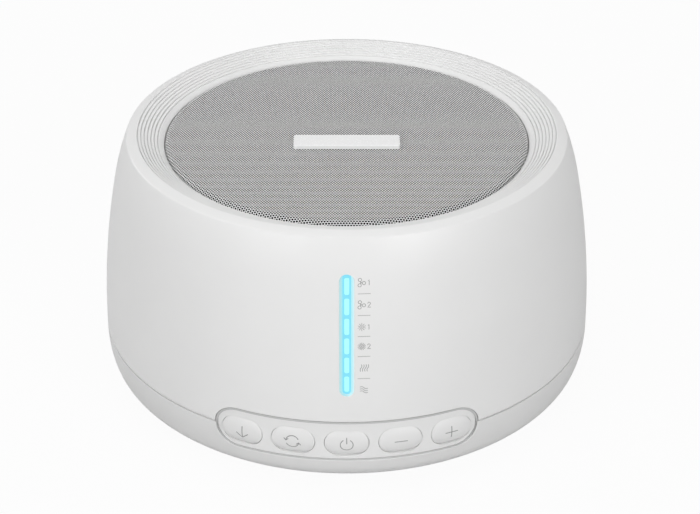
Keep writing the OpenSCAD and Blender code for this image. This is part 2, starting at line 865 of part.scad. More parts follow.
module usb_tongue() {
  color([0.15, 0.15, 0.15]) rear_slice(usb_mouth_y - usb_l + usb_wall, usb_mouth_y - 1)
    translate([-port_x, usb_z]) square([usb_tongue_w, usb_tongue_t], center = true);
}

module audio_jack() {
  color([0.15, 0.15, 0.15]) difference() {
    union() {
      rear_slice(jack_body_back_y, jack_body_front_y)
        translate([port_x, jack_z]) square([jack_w, jack_h], center = true);
      rear_slice(jack_body_front_y, jack_mouth_y)
        translate([port_x, jack_z]) circle(d = jack_barrel_d);
    }
    rear_slice(jack_mouth_y - jack_bore_l, jack_mouth_y + 1)
      translate([port_x, jack_z]) circle(d = jack_bore_d);
  }
}

// ---------- Loudspeaker ----------

module speaker_frame() {
  step_out_r = spider_r + fit_gap;
  color([0.35, 0.35, 0.37]) difference() {
    rotate_extrude($fn = curve_fn) polygon([
      [flange_in_r, flange_top_z], [speaker_r, flange_top_z], [speaker_r, flange_low_z],
      [basket_top_r, flange_low_z], [basket_foot_r, basket_low_z], [basket_hole_r, basket_low_z],
      [basket_hole_r, basket_floor_z], [shelf_r, basket_floor_z], [shelf_r, shelf_z],
      [step_out_r, shelf_z], [flange_in_r, shelf_z + (flange_in_r - step_out_r) / basket_slope]
    ]);
    for (turn = [0 : 60 : 300]) rotate([0, 0, turn + 30])
      translate([shelf_r, -window_w / 2, shelf_z + window_margin])
        cube([speaker_r, window_w, flange_low_z - shelf_z - 2 * window_margin]);
    four_around(speaker_screw_circle_r, 45)
      translate([0, 0, flange_low_z - 1]) cylinder(d = small_hole_d, h = frame_t + 2);
  }
}

module speaker_gasket() {
  color([0.1, 0.1, 0.1]) translate([0, 0, flange_top_z]) difference() {
    tube(speaker_hole_r, speaker_r, gasket_t);
    four_around(speaker_screw_circle_r, 45)
      translate([0, 0, -1]) cylinder(d = small_hole_d, h = gasket_t + 2);
  }
}

module surround() {
  color([0.08, 0.08, 0.08]) rotate_extrude($fn = curve_fn) translate([0, flange_top_z]) {
    intersection() {
      translate([roll_mid_r, 0]) difference() {
        circle(roll_w / 2);
        circle(roll_w / 2 - skin_t);
      }
      square([speaker_r, roll_w]);
    }
    translate([roll_out_r - skin_t, 0]) square([speaker_hole_r - roll_out_r + skin_t - fit_gap, skin_t]);
    translate([cone_edge_r - cone_rim_w, 0]) square([cone_rim_w, skin_t]);
  }
}

module speaker_cone() {
  cone_bend_r = cone_edge_r - cone_rim_w;
  color([0.15, 0.15, 0.16]) rotate_extrude($fn = curve_fn) polygon([
    [coil_r, cone_neck_z], [coil_r, cone_neck_z - cone_t], [cone_bend_r, flange_top_z - cone_t],
    [cone_edge_r, flange_top_z - cone_t], [cone_edge_r, flange_top_z], [cone_bend_r, flange_top_z]
  ]);
}

module dust_cap() {
  cap_z = cone_neck_z + (cap_r - coil_r) * cone_h / (cone_edge_r - cone_rim_w - coil_r) + join_step;
  cap_cz = cap_z - sqrt(pow(cap_dome_r, 2) - pow(cap_r, 2));
  color([0.1, 0.1, 0.1]) rotate_extrude() intersection() {
    translate([0, cap_cz]) difference() {
      circle(cap_dome_r, $fn = 128);
      circle(cap_dome_r - skin_t, $fn = 128);
    }
    translate([0, cap_z]) square(cap_dome_r);
  }
}

// Height of the corrugated spider at a radius
function spider_wave(r) = spider_wave_h * (1 - cos(3 * 360 * (r - coil_r) / (shelf_r - coil_r)));

module spider() {
  steps = 42;
  radii = [for (i = [0 : steps]) coil_r + i * (shelf_r - coil_r) / steps];
  color([0.8, 0.6, 0.3]) rotate_extrude() polygon(concat(
    [for (r = radii) [r, shelf_z + spider_wave(r)]],
    [[shelf_r, shelf_z], [spider_r, shelf_z], [spider_r, shelf_z + skin_t], [shelf_r, shelf_z + skin_t]],
    [for (i = [steps : -1 : 0]) [radii[i], shelf_z + spider_wave(radii[i]) + skin_t]]
  ));
}

module voice_coil() {
  coil_low_z = magnet_z + cone_travel + coil_end_gap;
  color([0.75, 0.45, 0.2]) translate([0, 0, coil_low_z])
    tube(coil_r - coil_t, coil_r - join_step, cone_neck_z - coil_low_z);
}

module top_plate() {
  color([0.6, 0.6, 0.62]) translate([0, 0, top_plate_z])
    tube(coil_r + coil_gap, magnet_d / 2 - plate_step, pole_plate_t);
}

module magnet() {
  color([0.18, 0.18, 0.19]) translate([0, 0, magnet_z]) tube(magnet_in_r, magnet_d / 2, magnet_h);
}

module pole_yoke() {
  color([0.6, 0.6, 0.62]) translate([0, 0, yoke_z]) {
    cylinder(r = magnet_d / 2 - yoke_step, h = pole_plate_t, $fn = curve_fn);
    cylinder(r = pole_r, h = basket_floor_z - yoke_z);
  }
}

module terminal_tab() {
  color([0.6, 0.5, 0.3]) translate([terminal_x - terminal_t / 2, -terminal_w / 2, flange_low_z - terminal_l])
    cube([terminal_t, terminal_w, terminal_l]);
}

module speaker_wires() {
  low = board_top_z + plug_h;
  high = flange_low_z - terminal_l;
  slack_r = (high - low) * 0.8;
  mid_x = terminal_x - sqrt(pow(slack_r, 2) - pow((high - low) / 2, 2));
  color([0.6, 0.1, 0.1]) for (y = [-wire_y, wire_y]) intersection() {
    translate([mid_x, y, (low + high) / 2]) rotate([90, 0, 0])
      rotate_extrude($fn = curve_fn) translate([slack_r, 0]) circle(d = wire_d, $fn = 24);
    translate([terminal_x - 2 * wire_d, y - wire_d, low]) cube([slack_r, 2 * wire_d, high - low]);
  }
}

// ---------- Screws ----------

module speaker_screws() {
  color([0.7, 0.7, 0.72]) four_around(speaker_screw_circle_r, 45)
    translate([0, 0, flange_low_z]) screw_up(small_screw_d, speaker_screw_l, small_head_d, small_head_h);
}

module base_screws() {
  color([0.7, 0.7, 0.72]) four_around(boss_circle_r, 45)
    translate([0, 0, case_head_z]) screw_up(case_screw_d, case_screw_l, case_head_d, case_head_h);
}

module board_screws() {
  color([0.7, 0.7, 0.72]) mirrored_four(post_circle_r, post_angle)
    translate([0, 0, board_top_z]) rotate([180, 0, 0])
      screw_up(small_screw_d, board_screw_l, small_head_d, small_head_h);
}

upper_housing();
base_shell();
grille();
grille_cloth();
nameplate();
light_window();
light_baffle();
led_board();
leds();
led_ribbon();
light_connector();
button_panel();
panel_seal();
timer_button();
loop_button();
power_button();
volume_down_button();
volume_up_button();
timer_plunger();
loop_plunger();
power_plunger();
volume_down_plunger();
volume_up_plunger();
tact_switches();
main_board();
board_chips();
board_capacitors();
speaker_connector();
usb_port();
usb_tongue();
audio_jack();
speaker_frame();
speaker_gasket();
surround();
speaker_cone();
dust_cap();
spider();
voice_coil();
top_plate();
magnet();
pole_yoke();
terminal_tab();
speaker_wires();
speaker_screws();
base_screws();
board_screws();
feet();
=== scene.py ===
import json
import math
from collections import Counter

import bmesh
import bpy
import numpy as np
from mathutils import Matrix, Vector
from mathutils.geometry import delaunay_2d_cdt


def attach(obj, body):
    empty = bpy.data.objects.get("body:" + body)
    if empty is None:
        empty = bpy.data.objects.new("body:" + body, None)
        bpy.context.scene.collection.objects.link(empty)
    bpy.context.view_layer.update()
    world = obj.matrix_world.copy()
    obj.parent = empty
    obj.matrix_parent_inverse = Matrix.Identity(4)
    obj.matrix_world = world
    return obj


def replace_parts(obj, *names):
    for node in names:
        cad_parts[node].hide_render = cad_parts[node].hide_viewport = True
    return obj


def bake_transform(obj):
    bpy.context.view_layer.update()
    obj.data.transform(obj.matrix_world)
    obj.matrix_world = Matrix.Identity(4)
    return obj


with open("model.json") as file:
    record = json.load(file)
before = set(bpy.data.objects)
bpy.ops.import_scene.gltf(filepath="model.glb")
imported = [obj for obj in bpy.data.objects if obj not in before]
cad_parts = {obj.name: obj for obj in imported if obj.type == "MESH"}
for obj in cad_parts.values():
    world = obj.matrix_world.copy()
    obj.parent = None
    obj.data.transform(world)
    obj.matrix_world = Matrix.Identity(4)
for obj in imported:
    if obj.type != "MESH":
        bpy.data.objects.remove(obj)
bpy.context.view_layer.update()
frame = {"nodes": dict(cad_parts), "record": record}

MM = 0.001
TAU = 2 * math.pi
SEGMENTS = 360

# ---------------- sizes, in mm, as in the part
# Body
BODY_R = 56.0
BODY_H = 60.0
WALL = 2.2
BELLY_Z = 11.9
SIDE_ARC_R = 186.0
SHOULDER_Z = 38.8
FLARE_R = 18.8
HEEL_R = 6.5
BASE_Z = 1.7
FLOOR_R = 20.0
FIT_GAP = 0.1

# Seam between the housing and the base
SEAM_Z = 13.6
SEAM_GAP = 0.4
SEAM_TOP = SEAM_Z + SEAM_GAP / 2
SEAM_LOW = SEAM_Z - SEAM_GAP / 2
SEAM_EDGE = 0.1
SEAM_EDGE_CUT = 0.03
TONGUE_TOP = SEAM_Z + 2.0
TONGUE_CHAMFER = 0.3

# Rim: lip, crest, band with steps, ring and the ledge that carries the grille
LIP_W = 2.25
LIP_SLOPE = 17.0
LIP_ROUND = 0.55
CREST_ROUND = 0.12
BAND_W = 4.9
BAND_DROP = 2.0
BAND_LENGTH = math.hypot(BAND_W, BAND_DROP)
RING_W = 1.15
RING_DROP = 0.9
STEPS = 7
STEP_START = 0.1
BAND_FREE = 0.55
STEP_PITCH = (BAND_LENGTH - BAND_FREE) / (STEPS - 1)
STEP_H = 0.2
STEP_LEAN = 0.08
SLIT_W = 0.16
SLIT_D = 0.3
SLIT_TAPER = 0.02
LEDGE_IN_R = 29.5
LEDGE_T = 2.0
BAND_ROUND = 0.06
INNER_ROUND = 0.2
ROOF_ROUND = 0.4
SIDE_ROUND = 0.5

# Grille and nameplate
GRILLE_SINK = 2.1
GRILLE_H = 3.4
BEND_R = 1.5
PLATE_W, PLATE_D, PLATE_H, PLATE_CORNER = 23.6, 5.6, 0.8, 0.6
PLATE_FORWARD = 4.4

# Buttons and the capsule-shaped panel round them
BUTTON_W = 9.35
BUTTON_H = 6.3
BUTTON_SPACE = 2.3
BUTTON_ANGLE = 2 * math.degrees(math.asin((BUTTON_W + BUTTON_SPACE) / (2 * BODY_R)))
ROW_END = math.radians(2 * BUTTON_ANGLE)
CAPSULE_SIDE, CAPSULE_ABOVE = 1.25, 1.9
CAPSULE_W = 2 * (BODY_R * math.sin(ROW_END) + BUTTON_W / 2 * math.cos(ROW_END) + CAPSULE_SIDE)
CAPSULE_H = BUTTON_H + 2 * CAPSULE_ABOVE
CAPSULE_Z = SEAM_Z - 0.35
CAPSULE_GAP = 0.2
CAPSULE_ROUND = 0.4
BUTTON_Z = CAPSULE_Z - 0.5

# Light slot, its window and its lights
SLOT_MOUTH, SLOT_FOOT = 3.16, 1.78
SLOT_LENGTH = 27.2
SLOT_MID = 38.47
WINDOW_SINK = 0.8
LIGHTS = 6
LIGHT_PITCH = 4.37
LIGHT_W, LIGHT_H, LIGHT_CORNER = 1.0, 3.54, 0.35
LIGHTS_MID = SLOT_MID - 0.22
# Painted glow on the slot's walls: the run along the slot over which it stays full, the distances from the
# slot's middle line over which it fades, and the half-width over which the painted shade of the left wall
# turns into the painted highlight of the right
GLOW_RUN = 12.3
GLOW_NEAR, GLOW_FAR = 0.87, 1.58
GLOW_SIDE = 0.6

# Bosses, feet and ports
BOSS_CIRCLE_R = 44.0
BOSS_R = 3.5
BOSS_TOP_Z = 28.7
SCREW_HOLE_R = 1.5
COUNTERBORE_R, COUNTERBORE_H = 2.8, 5.0
FOOT_CIRCLE_R = 40.0
FOOT_POCKET_R, FOOT_POCKET_H = 5.1, 0.6
JACK_X, JACK_Z, JACK_HOLE_R = 9.0, 6.6, 2.65
USB_X, USB_Z = -9.0, 7.47
USB_HOLE_W, USB_HOLE_H = 9.44, 3.76
PORT_CUT = (48.0, 58.0)

# Worked out from the sizes above
SIDE_CX = BODY_R - SIDE_ARC_R
SHOULDER_DZ = SHOULDER_Z - BELLY_Z
SHOULDER_R = SIDE_ARC_R - math.hypot(SIDE_CX, SHOULDER_DZ)
JOIN_Z = BELLY_Z + SIDE_ARC_R * SHOULDER_DZ / math.hypot(SIDE_CX, SHOULDER_DZ)
FLARE_CX = BODY_R - FLARE_R
HEEL_CZ = BASE_Z + HEEL_R
HEEL_CX = FLARE_CX + math.sqrt((FLARE_R - HEEL_R) ** 2 - (BELLY_Z - HEEL_CZ) ** 2)
HEEL_JOIN_Z = BELLY_Z - FLARE_R * (BELLY_Z - HEEL_CZ) / (FLARE_R - HEEL_R)
LIP_Z = BODY_H - LIP_W * math.tan(math.radians(LIP_SLOPE))
CREST_R = math.sqrt(SHOULDER_R**2 - (LIP_Z - SHOULDER_Z) ** 2) - LIP_W
BAND_R = CREST_R - BAND_W
BAND_Z = BODY_H - BAND_DROP
RECESS_R = BAND_R - RING_W
RING_Z = BAND_Z - RING_DROP
GRILLE_R = RECESS_R - FIT_GAP
GRILLE_Z = BODY_H - GRILLE_SINK
FLAT_R = GRILLE_R - BEND_R
LEDGE_Z = GRILLE_Z - GRILLE_H


def outer_r(z, inset=0.0):
    """Radius of the body's outer face at a height."""
    if z >= JOIN_Z:
        return math.sqrt(max((SHOULDER_R - inset) ** 2 - (z - SHOULDER_Z) ** 2, 0))
    if z >= BELLY_Z:
        return SIDE_CX + math.sqrt((SIDE_ARC_R - inset) ** 2 - (z - BELLY_Z) ** 2)
    if z >= HEEL_JOIN_Z:
        return FLARE_CX + math.sqrt((FLARE_R - inset) ** 2 - (BELLY_Z - z) ** 2)
    return HEEL_CX + math.sqrt(max((HEEL_R - inset) ** 2 - (HEEL_CZ - z) ** 2, 0))


# ---------------- materials
GLOSS_VARY = 0.08
# Length of one wave of the wave texture at scale 1
WAVE_LENGTH = 0.314
MATERIALS = {}


def new_material(name):
    """Starts a material, kept in MATERIALS under its name, and gives its node tree and its shader."""
    mat = bpy.data.materials.new(name)
    mat.use_nodes = True
    MATERIALS[name] = mat
    return mat.node_tree, mat.node_tree.nodes["Principled BSDF"]


def object_place(tree):
    """Output with the place on the object, in metres."""
    return tree.nodes.new("ShaderNodeTexCoord").outputs["Object"]


def noise(tree, scale, detail=3.0, stretch=None):
    """Grey output of a noise texture on object coordinates."""
    node = tree.nodes.new("ShaderNodeTexNoise")
    node.inputs["Scale"].default_value = scale
    node.inputs["Detail"].default_value = detail
    source = object_place(tree)
    if stretch:
        mapping = tree.nodes.new("ShaderNodeMapping")
        mapping.inputs["Scale"].default_value = stretch
        tree.links.new(source, mapping.inputs["Vector"])
        source = mapping.outputs["Vector"]
    tree.links.new(source, node.inputs["Vector"])
    return node.outputs[0]


def ramp(tree, source, low, high, start=0.3, stop=0.7):
    """Output that goes from low to high as the source goes from start to stop."""
    node = tree.nodes.new("ShaderNodeMapRange")
    node.inputs["From Min"].default_value = start
    node.inputs["From Max"].default_value = stop
    node.inputs["To Min"].default_value = low
    node.inputs["To Max"].default_value = high
    tree.links.new(source, node.inputs["Value"])
    return node.outputs["Result"]


def maths(tree, operation, first, second=0.0):
    """A maths node on an output and a number or a second output."""
    node = tree.nodes.new("ShaderNodeMath")
    node.operation = operation
    tree.links.new(first, node.inputs[0])
    if isinstance(second, float):
        node.inputs[1].default_value = second
    else:
        tree.links.new(second, node.inputs[1])
    return node.outputs[0]


def mix(tree, factor, first, second):
    """Two colours mixed by an output; each is a plain colour or an output."""
    node = tree.nodes.new("ShaderNodeMix")
    node.data_type = "RGBA"
    tree.links.new(factor, node.inputs[0])
    for socket, colour in ((node.inputs[6], first), (node.inputs[7], second)):
        if isinstance(colour, (tuple, list)):
            socket.default_value = (*colour, 1)
        else:
            tree.links.new(colour, socket)
    return node.outputs[2]


def patchy(tree, scale, detail, dark, light):
    """Colour output that wanders between two colours in patches."""
    return mix(tree, ramp(tree, noise(tree, scale, detail), 0, 1), dark, light)


def bump(tree, bsdf, height, strength, distance):
    """Raises the shader's surface by an output; distance is in mm."""
    node = tree.nodes.new("ShaderNodeBump")
    node.inputs["Strength"].default_value = strength
    node.inputs["Distance"].default_value = distance * MM
    tree.links.new(height, node.inputs["Height"])
    tree.links.new(node.outputs["Normal"], bsdf.inputs["Normal"])


def surface(name, colour, rough=0.4, vary=0.03, grain=0.02, grain_scale=3500.0, metal=0.0,
            patch_scale=60.0, stretch=None, coat=0.0):
    """Moulded, coated or rolled surface: faint patches of colour and gloss over a fine grain."""
    tree, bsdf = new_material(name)
    patches = noise(tree, patch_scale, stretch=stretch)
    dark = [c * (1 - vary) for c in colour]
    light = [min(c * (1 + vary * 0.5), 1) for c in colour]
    tree.links.new(mix(tree, ramp(tree, patches, 0, 1), dark, light), bsdf.inputs["Base Color"])
    fine = noise(tree, grain_scale, 2.0, stretch)
    gloss = ramp(tree, fine, max(rough - GLOSS_VARY, 0.02), min(rough + GLOSS_VARY, 1))
    tree.links.new(gloss, bsdf.inputs["Roughness"])
    bump(tree, bsdf, fine, 0.5, grain)
    bsdf.inputs["Metallic"].default_value = metal
    if coat:
        bsdf.inputs["Coat Weight"].default_value = coat
        bsdf.inputs["Coat Roughness"].default_value = 0.15


def woven(name, colour, pitch):
    """Plain weave: two crossed waves in colour and height; pitch is in mm."""
    tree, bsdf = new_material(name)
    heights = []
    for axis in ("X", "Y"):
        wave = tree.nodes.new("ShaderNodeTexWave")
        wave.bands_direction = axis
        wave.inputs["Scale"].default_value = WAVE_LENGTH / (pitch * MM)
        wave.inputs["Distortion"].default_value = 0.4
        tree.links.new(object_place(tree), wave.inputs["Vector"])
        heights.append(wave.outputs["Fac"])
    weave = maths(tree, "MULTIPLY", *heights)
    tree.links.new(mix(tree, weave, [c * 0.5 for c in colour], colour), bsdf.inputs["Base Color"])
    bump(tree, bsdf, weave, 0.7, pitch * 0.3)
    bsdf.inputs["Roughness"].default_value = 0.9


def lit(name, colour, glow):
    """Diffuser lit from behind, a little uneven as moulded diffusers are."""
    tree, bsdf = new_material(name)
    tree.links.new(patchy(tree, 700.0, 2.0, [c * 0.96 for c in colour], colour), bsdf.inputs["Base Color"])
    tree.links.new(patchy(tree, 700.0, 2.0, [c * 0.97 for c in glow], glow), bsdf.inputs["Emission Color"])
    bsdf.inputs["Emission Strength"].default_value = 1.0
    bsdf.inputs["Roughness"].default_value = 0.35


def painted_glow(name):
    """Painted glow on the walls of the light slot, for the window's light falling on them: it fades toward
    the mouth, more so at the left, where it also carries painted shade, while the right wall carries a
    painted highlight.
    """
    tree, bsdf = new_material(name)
    place = tree.nodes.new("ShaderNodeSeparateXYZ")
    tree.links.new(object_place(tree), place.inputs[0])
    x = place.outputs["X"]
    end = maths(tree, "ABSOLUTE", maths(tree, "SUBTRACT", place.outputs["Z"], SLOT_MID * MM))
    end = maths(tree, "MAXIMUM", maths(tree, "SUBTRACT", end, GLOW_RUN * MM), 0.0)
    squares = maths(tree, "ADD", maths(tree, "MULTIPLY", x, x), maths(tree, "MULTIPLY", end, end))
    near = ramp(tree, maths(tree, "SQRT", squares), 1, 0, GLOW_NEAR * MM, GLOW_FAR * MM)
    # Painted shade on the left wall, darker and greyer, and a painted highlight on the right wall, paler, as
    # if lit from the left; both turn cyan near the window as painted glow
    left = mix(tree, near, (0.33, 0.47, 0.48), (0.17, 0.55, 0.63))
    right = mix(tree, near, (0.5, 0.66, 0.7), (0.22, 0.6, 0.68))
    side = ramp(tree, x, 0, 1, -GLOW_SIDE * MM, GLOW_SIDE * MM)
    tree.links.new(mix(tree, side, left, right), bsdf.inputs["Emission Color"])
    tint = patchy(tree, 900.0, 2.0, (0.22, 0.26, 0.26), (0.24, 0.28, 0.28))
    tree.links.new(tint, bsdf.inputs["Base Color"])
    bsdf.inputs["Emission Strength"].default_value = 1.0
    bsdf.inputs["Roughness"].default_value = 0.5


def circuit(name):
    """Solder mask with paler tracks."""
    tree, bsdf = new_material(name)
    brick = tree.nodes.new("ShaderNodeTexBrick")
    brick.inputs["Scale"].default_value = 160.0
    brick.inputs["Mortar Size"].default_value = 0.06
    brick.inputs["Color1"].default_value = (0.02, 0.16, 0.07, 1)
    brick.inputs["Color2"].default_value = (0.03, 0.19, 0.08, 1)
    brick.inputs["Mortar"].default_value = (0.06, 0.27, 0.12, 1)
    tree.links.new(object_place(tree), brick.inputs["Vector"])
    tree.links.new(brick.outputs["Color"], bsdf.inputs["Base Color"])
    bump(tree, bsdf, brick.outputs["Fac"], 0.4, 0.03)
    bsdf.inputs["Roughness"].default_value = 0.32


surface("shell_white", (0.85, 0.85, 0.847), 0.42, vary=0.012, grain=0.006, coat=0.05)
surface("base_white", (0.78, 0.78, 0.777), 0.45, vary=0.012, grain=0.006)
surface("grille_white", (0.89, 0.89, 0.89), 0.36, vary=0.015, grain=0.003)
woven("cloth_black", (0.02, 0.02, 0.02), 0.35)
surface("plate_white", (0.88, 0.88, 0.88), 0.22, vary=0.01, grain=0.002, coat=0.3)
lit("window_cyan", (0.02, 0.1, 0.14), (0.22, 0.67, 0.82))
# Painted glow, shade and highlight for the light slot's walls
painted_glow("lining_cyan")
lit("core_cyan", (0.05, 0.14, 0.14), (0.4, 0.92, 0.94))
surface("baffle_white", (0.78, 0.78, 0.8), 0.5)
circuit("board_green")
lit("led_lit", (0.6, 0.95, 1.0), (0.5, 0.95, 1.0))
surface("ribbon_cream", (0.75, 0.73, 0.64), 0.35, stretch=(8, 1, 0.2))
surface("connector_cream", (0.72, 0.68, 0.55), 0.5)
surface("panel_white", (0.84, 0.84, 0.837), 0.42, vary=0.012, grain=0.005)
surface("seal_grey", (0.56, 0.56, 0.56), 0.7, grain=0.02)
surface("button_white", (0.815, 0.815, 0.812), 0.4, vary=0.012, grain=0.004)
surface("ink_grey", (0.34, 0.34, 0.34), 0.6, vary=0.08)
surface("plunger_black", (0.03, 0.03, 0.03), 0.45)
surface("switch_black", (0.04, 0.04, 0.042), 0.5)
surface("chip_black", (0.02, 0.02, 0.022), 0.55)
surface("capacitor_can", (0.55, 0.55, 0.57), 0.3, metal=1.0)
surface("port_steel", (0.62, 0.62, 0.64), 0.28, metal=1.0, stretch=(1, 0.1, 6))
surface("port_black", (0.02, 0.02, 0.02), 0.5)
surface("frame_steel", (0.045, 0.045, 0.05), 0.38, grain=0.01)
surface("gasket_foam", (0.02, 0.02, 0.02), 0.9, grain=0.12, grain_scale=1400.0)
surface("surround_rubber", (0.015, 0.015, 0.015), 0.55)
surface("cone_paper", (0.035, 0.035, 0.035), 0.85, vary=0.25, grain=0.06, patch_scale=900.0)
woven("spider_cloth", (0.42, 0.24, 0.08), 0.5)
surface("coil_copper", (0.6, 0.24, 0.1), 0.3, metal=1.0, stretch=(1, 1, 12))
surface("plate_zinc", (0.5, 0.5, 0.52), 0.35, metal=1.0, vary=0.12, patch_scale=260.0)
surface("magnet_ferrite", (0.04, 0.04, 0.042), 0.5, vary=0.3, patch_scale=1200.0)
surface("tab_phenolic", (0.26, 0.16, 0.06), 0.55, vary=0.15, stretch=(1, 6, 1))
surface("wire_red", (0.4, 0.012, 0.012), 0.4)
surface("screw_steel", (0.55, 0.55, 0.57), 0.3, metal=1.0)
surface("foot_rubber", (0.04, 0.04, 0.042), 0.75, grain=0.03)

for part in frame["record"]["subparts"]:
    node = frame["nodes"][part["node"]]
    node.data.materials.clear()
    node.data.materials.append(MATERIALS[part["material_slot"]])


# ---------------- outlines
OUTLINE_STEP = 0.7


def arc(radius, start, stop, centre=(0, 0), steps=24):
    """Points of an arc between two angles in degrees, both ends included."""
    turns = [math.radians(start + (stop - start) * s / steps) for s in range(steps + 1)]
    return [(centre[0] + radius * math.cos(a), centre[1] + radius * math.sin(a)) for a in turns]


def divided(pts, step, closed=True):
    """A polyline with points added, so that none of its parts is much longer than the step."""
    out = []
    for p, q in zip(pts, [*pts[1:], pts[0]] if closed else pts[1:]):
        n = max(1, int(math.dist(p, q) / step))
        out += [(p[0] + (q[0] - p[0]) * k / n, p[1] + (q[1] - p[1]) * k / n) for k in range(n)]
    return np.array(out if closed else [*out, pts[-1]], float)


def rounded(corners):
    """Polyline whose corners (r, z, radius) are rounded; a radius of 0 keeps a point as it is."""
    out = []
    for i, (r, z, radius) in enumerate(corners):
        if not radius or i in (0, len(corners) - 1):
            out.append((r, z))
            continue
        p, a, b = (np.array(c[:2], float) for c in (corners[i], corners[i - 1], corners[i + 1]))
        ua, ub = (a - p) / np.linalg.norm(a - p), (b - p) / np.linalg.norm(b - p)
        half = math.acos(max(-1, min(1, float(ua @ ub)))) / 2
        if half > math.radians(88):
            out.append((r, z))
            continue
        cut = radius / math.tan(half)
        centre = p + (ua + ub) / np.linalg.norm(ua + ub) * radius / math.sin(half)
        start, end = p + ua * cut - centre, p + ub * cut - centre
        steps = max(3, int(math.degrees(math.pi - 2 * half) / 12))
        for s in range(steps + 1):
            way = start * (1 - s / steps) + end * s / steps
            out.append(tuple(centre + way / np.linalg.norm(way) * radius))
    return out


def stadium(width, height, steps=24):
    """Points of a wide outline with round ends, counter-clockwise."""
    half = arc(height / 2, -90, 90, ((width - height) / 2, 0), steps)
    return divided(half + [(-x, -z) for x, z in half], OUTLINE_STEP)


def rounded_rect(width, height, corner, steps=8):
    """Points of a rectangle with round corners, counter-clockwise."""
    pts = []
    for x, y, start in ((1, -1, -90), (1, 1, 0), (-1, 1, 90), (-1, -1, 180)):
        centre = (x * (width / 2 - corner), y * (height / 2 - corner))
        pts += arc(corner, start, start + 90, centre, steps)
    return np.array(pts)


def bar(width, height=SLOT_LENGTH, turn=20, side=34):
    """An upright outline with round ends and a fixed number of points."""
    r, flat = width / 2, height / 2 - width / 2
    pts = arc(r, 0, 180, (0, flat), turn)[:-1]
    pts += [(-r, flat - 2 * flat * k / side) for k in range(side)]
    return np.array(pts + [(-x, -z) for x, z in pts])


def grown(pts, levels):
    """Sections of one outline, each (grow, depth) level moved outward by its grow."""
    d = np.roll(pts, -1, axis=0) - np.roll(pts, 1, axis=0)
    normal = np.stack([d[:, 1], -d[:, 0]], axis=1)
    normal /= np.linalg.norm(normal, axis=1, keepdims=True)
    return [(pts + normal * grow, depth) for grow, depth in levels]


def edge_levels(radius):
    """Levels of a cutter that leaves a rounded edge."""
    turns = [math.radians(a) for a in (14, 30, 46, 62, 78, 90)]
    levels = [(radius - radius * math.sin(a), radius - radius * math.cos(a)) for a in turns]
    return [(radius + 0.01, -0.05), *levels]


# ---------------- meshes
def add_object(name, verts, faces, material=None):
    """A mesh object in metres from points in mm."""
    mesh = bpy.data.meshes.new(name)
    mesh.from_pydata((np.asarray(verts, float) * MM).tolist(), [], [list(f) for f in faces])
    mesh.update()
    obj = bpy.data.objects.new(name, mesh)
    bpy.context.scene.collection.objects.link(obj)
    if material:
        mesh.materials.append(MATERIALS[material])
    return obj


def shade(obj, angle):
    """Smooth shading, with edges over the angle in degrees left sharp."""
    mesh = obj.data
    mesh.polygons.foreach_set("use_smooth", np.ones(len(mesh.polygons), bool))
    mesh.set_sharp_from_angle(angle=math.radians(angle))
    mesh.update()


def tidy(obj, merge=1e-7):
    """Welds doubled points and turns every face outward."""
    work = bmesh.new()
    work.from_mesh(obj.data)
    bmesh.ops.remove_doubles(work, verts=work.verts, dist=merge)
    bmesh.ops.dissolve_degenerate(work, dist=merge, edges=work.edges)
    bmesh.ops.recalc_face_normals(work, faces=work.faces)
    if work.calc_volume(signed=True) < 0:
        bmesh.ops.reverse_faces(work, faces=work.faces)
    work.to_mesh(obj.data)
    work.free()


def combine(target, cutter, operation="DIFFERENCE"):
    """Boolean of two mesh objects; the cutter is removed afterwards."""
    mod = target.modifiers.new("cut", "BOOLEAN")
    mod.operation = operation
    mod.solver = "MANIFOLD"
    mod.object = cutter
    graph = bpy.context.evaluated_depsgraph_get()
    mesh = bpy.data.meshes.new_from_object(target.evaluated_get(graph))
    target.modifiers.clear()
    target.data = mesh
    bpy.data.objects.remove(cutter)


def skin(rings, wrap=False):
    """Points and faces of a surface through rings of equal counts; wrap joins the last ring to the first."""
    n = len(rings[0])
    faces = []
    for level in range(len(rings) if wrap else len(rings) - 1):
        low, high = level * n, (level + 1) % len(rings) * n
        for i in range(n):
            k = (i + 1) % n
            faces.append((low + i, low + k, high + k, high + i))
    return [tuple(p) for ring in rings for p in ring], faces


def loft(rings, near_end=True):
    """A skin with a flat face over its last ring and, unless near_end is off, over its first."""
    verts, faces = skin(rings)
    n = len(rings[0])
    if near_end:
        faces.append(tuple(reversed(range(n))))
    faces.append(tuple(range(len(verts) - n, len(verts))))
    return verts, faces


def merged(shapes):
    """Points and faces of several shapes as one."""
    verts, faces = [], []
    for points, polygons in shapes:
        faces += [[i + len(verts) for i in polygon] for polygon in polygons]
        verts += points
    return verts, faces


def add_solid(name, shapes, material=None):
    """One object of closed shapes, with every face outward."""
    obj = add_object(name, *merged(shapes), material)
    tidy(obj)
    return obj


def rods(places, low, high, radius, along_y=False):
    """Upright round rods at (x, y) places, or rods along y at (x, z) places."""
    shapes = []
    for place in places:
        ring = arc(radius, 0, 360, place, 48)[:-1]
        shapes.append(loft([[(p, at, q) if along_y else (p, q, at) for p, q in ring] for at in (low, high)]))
    return shapes


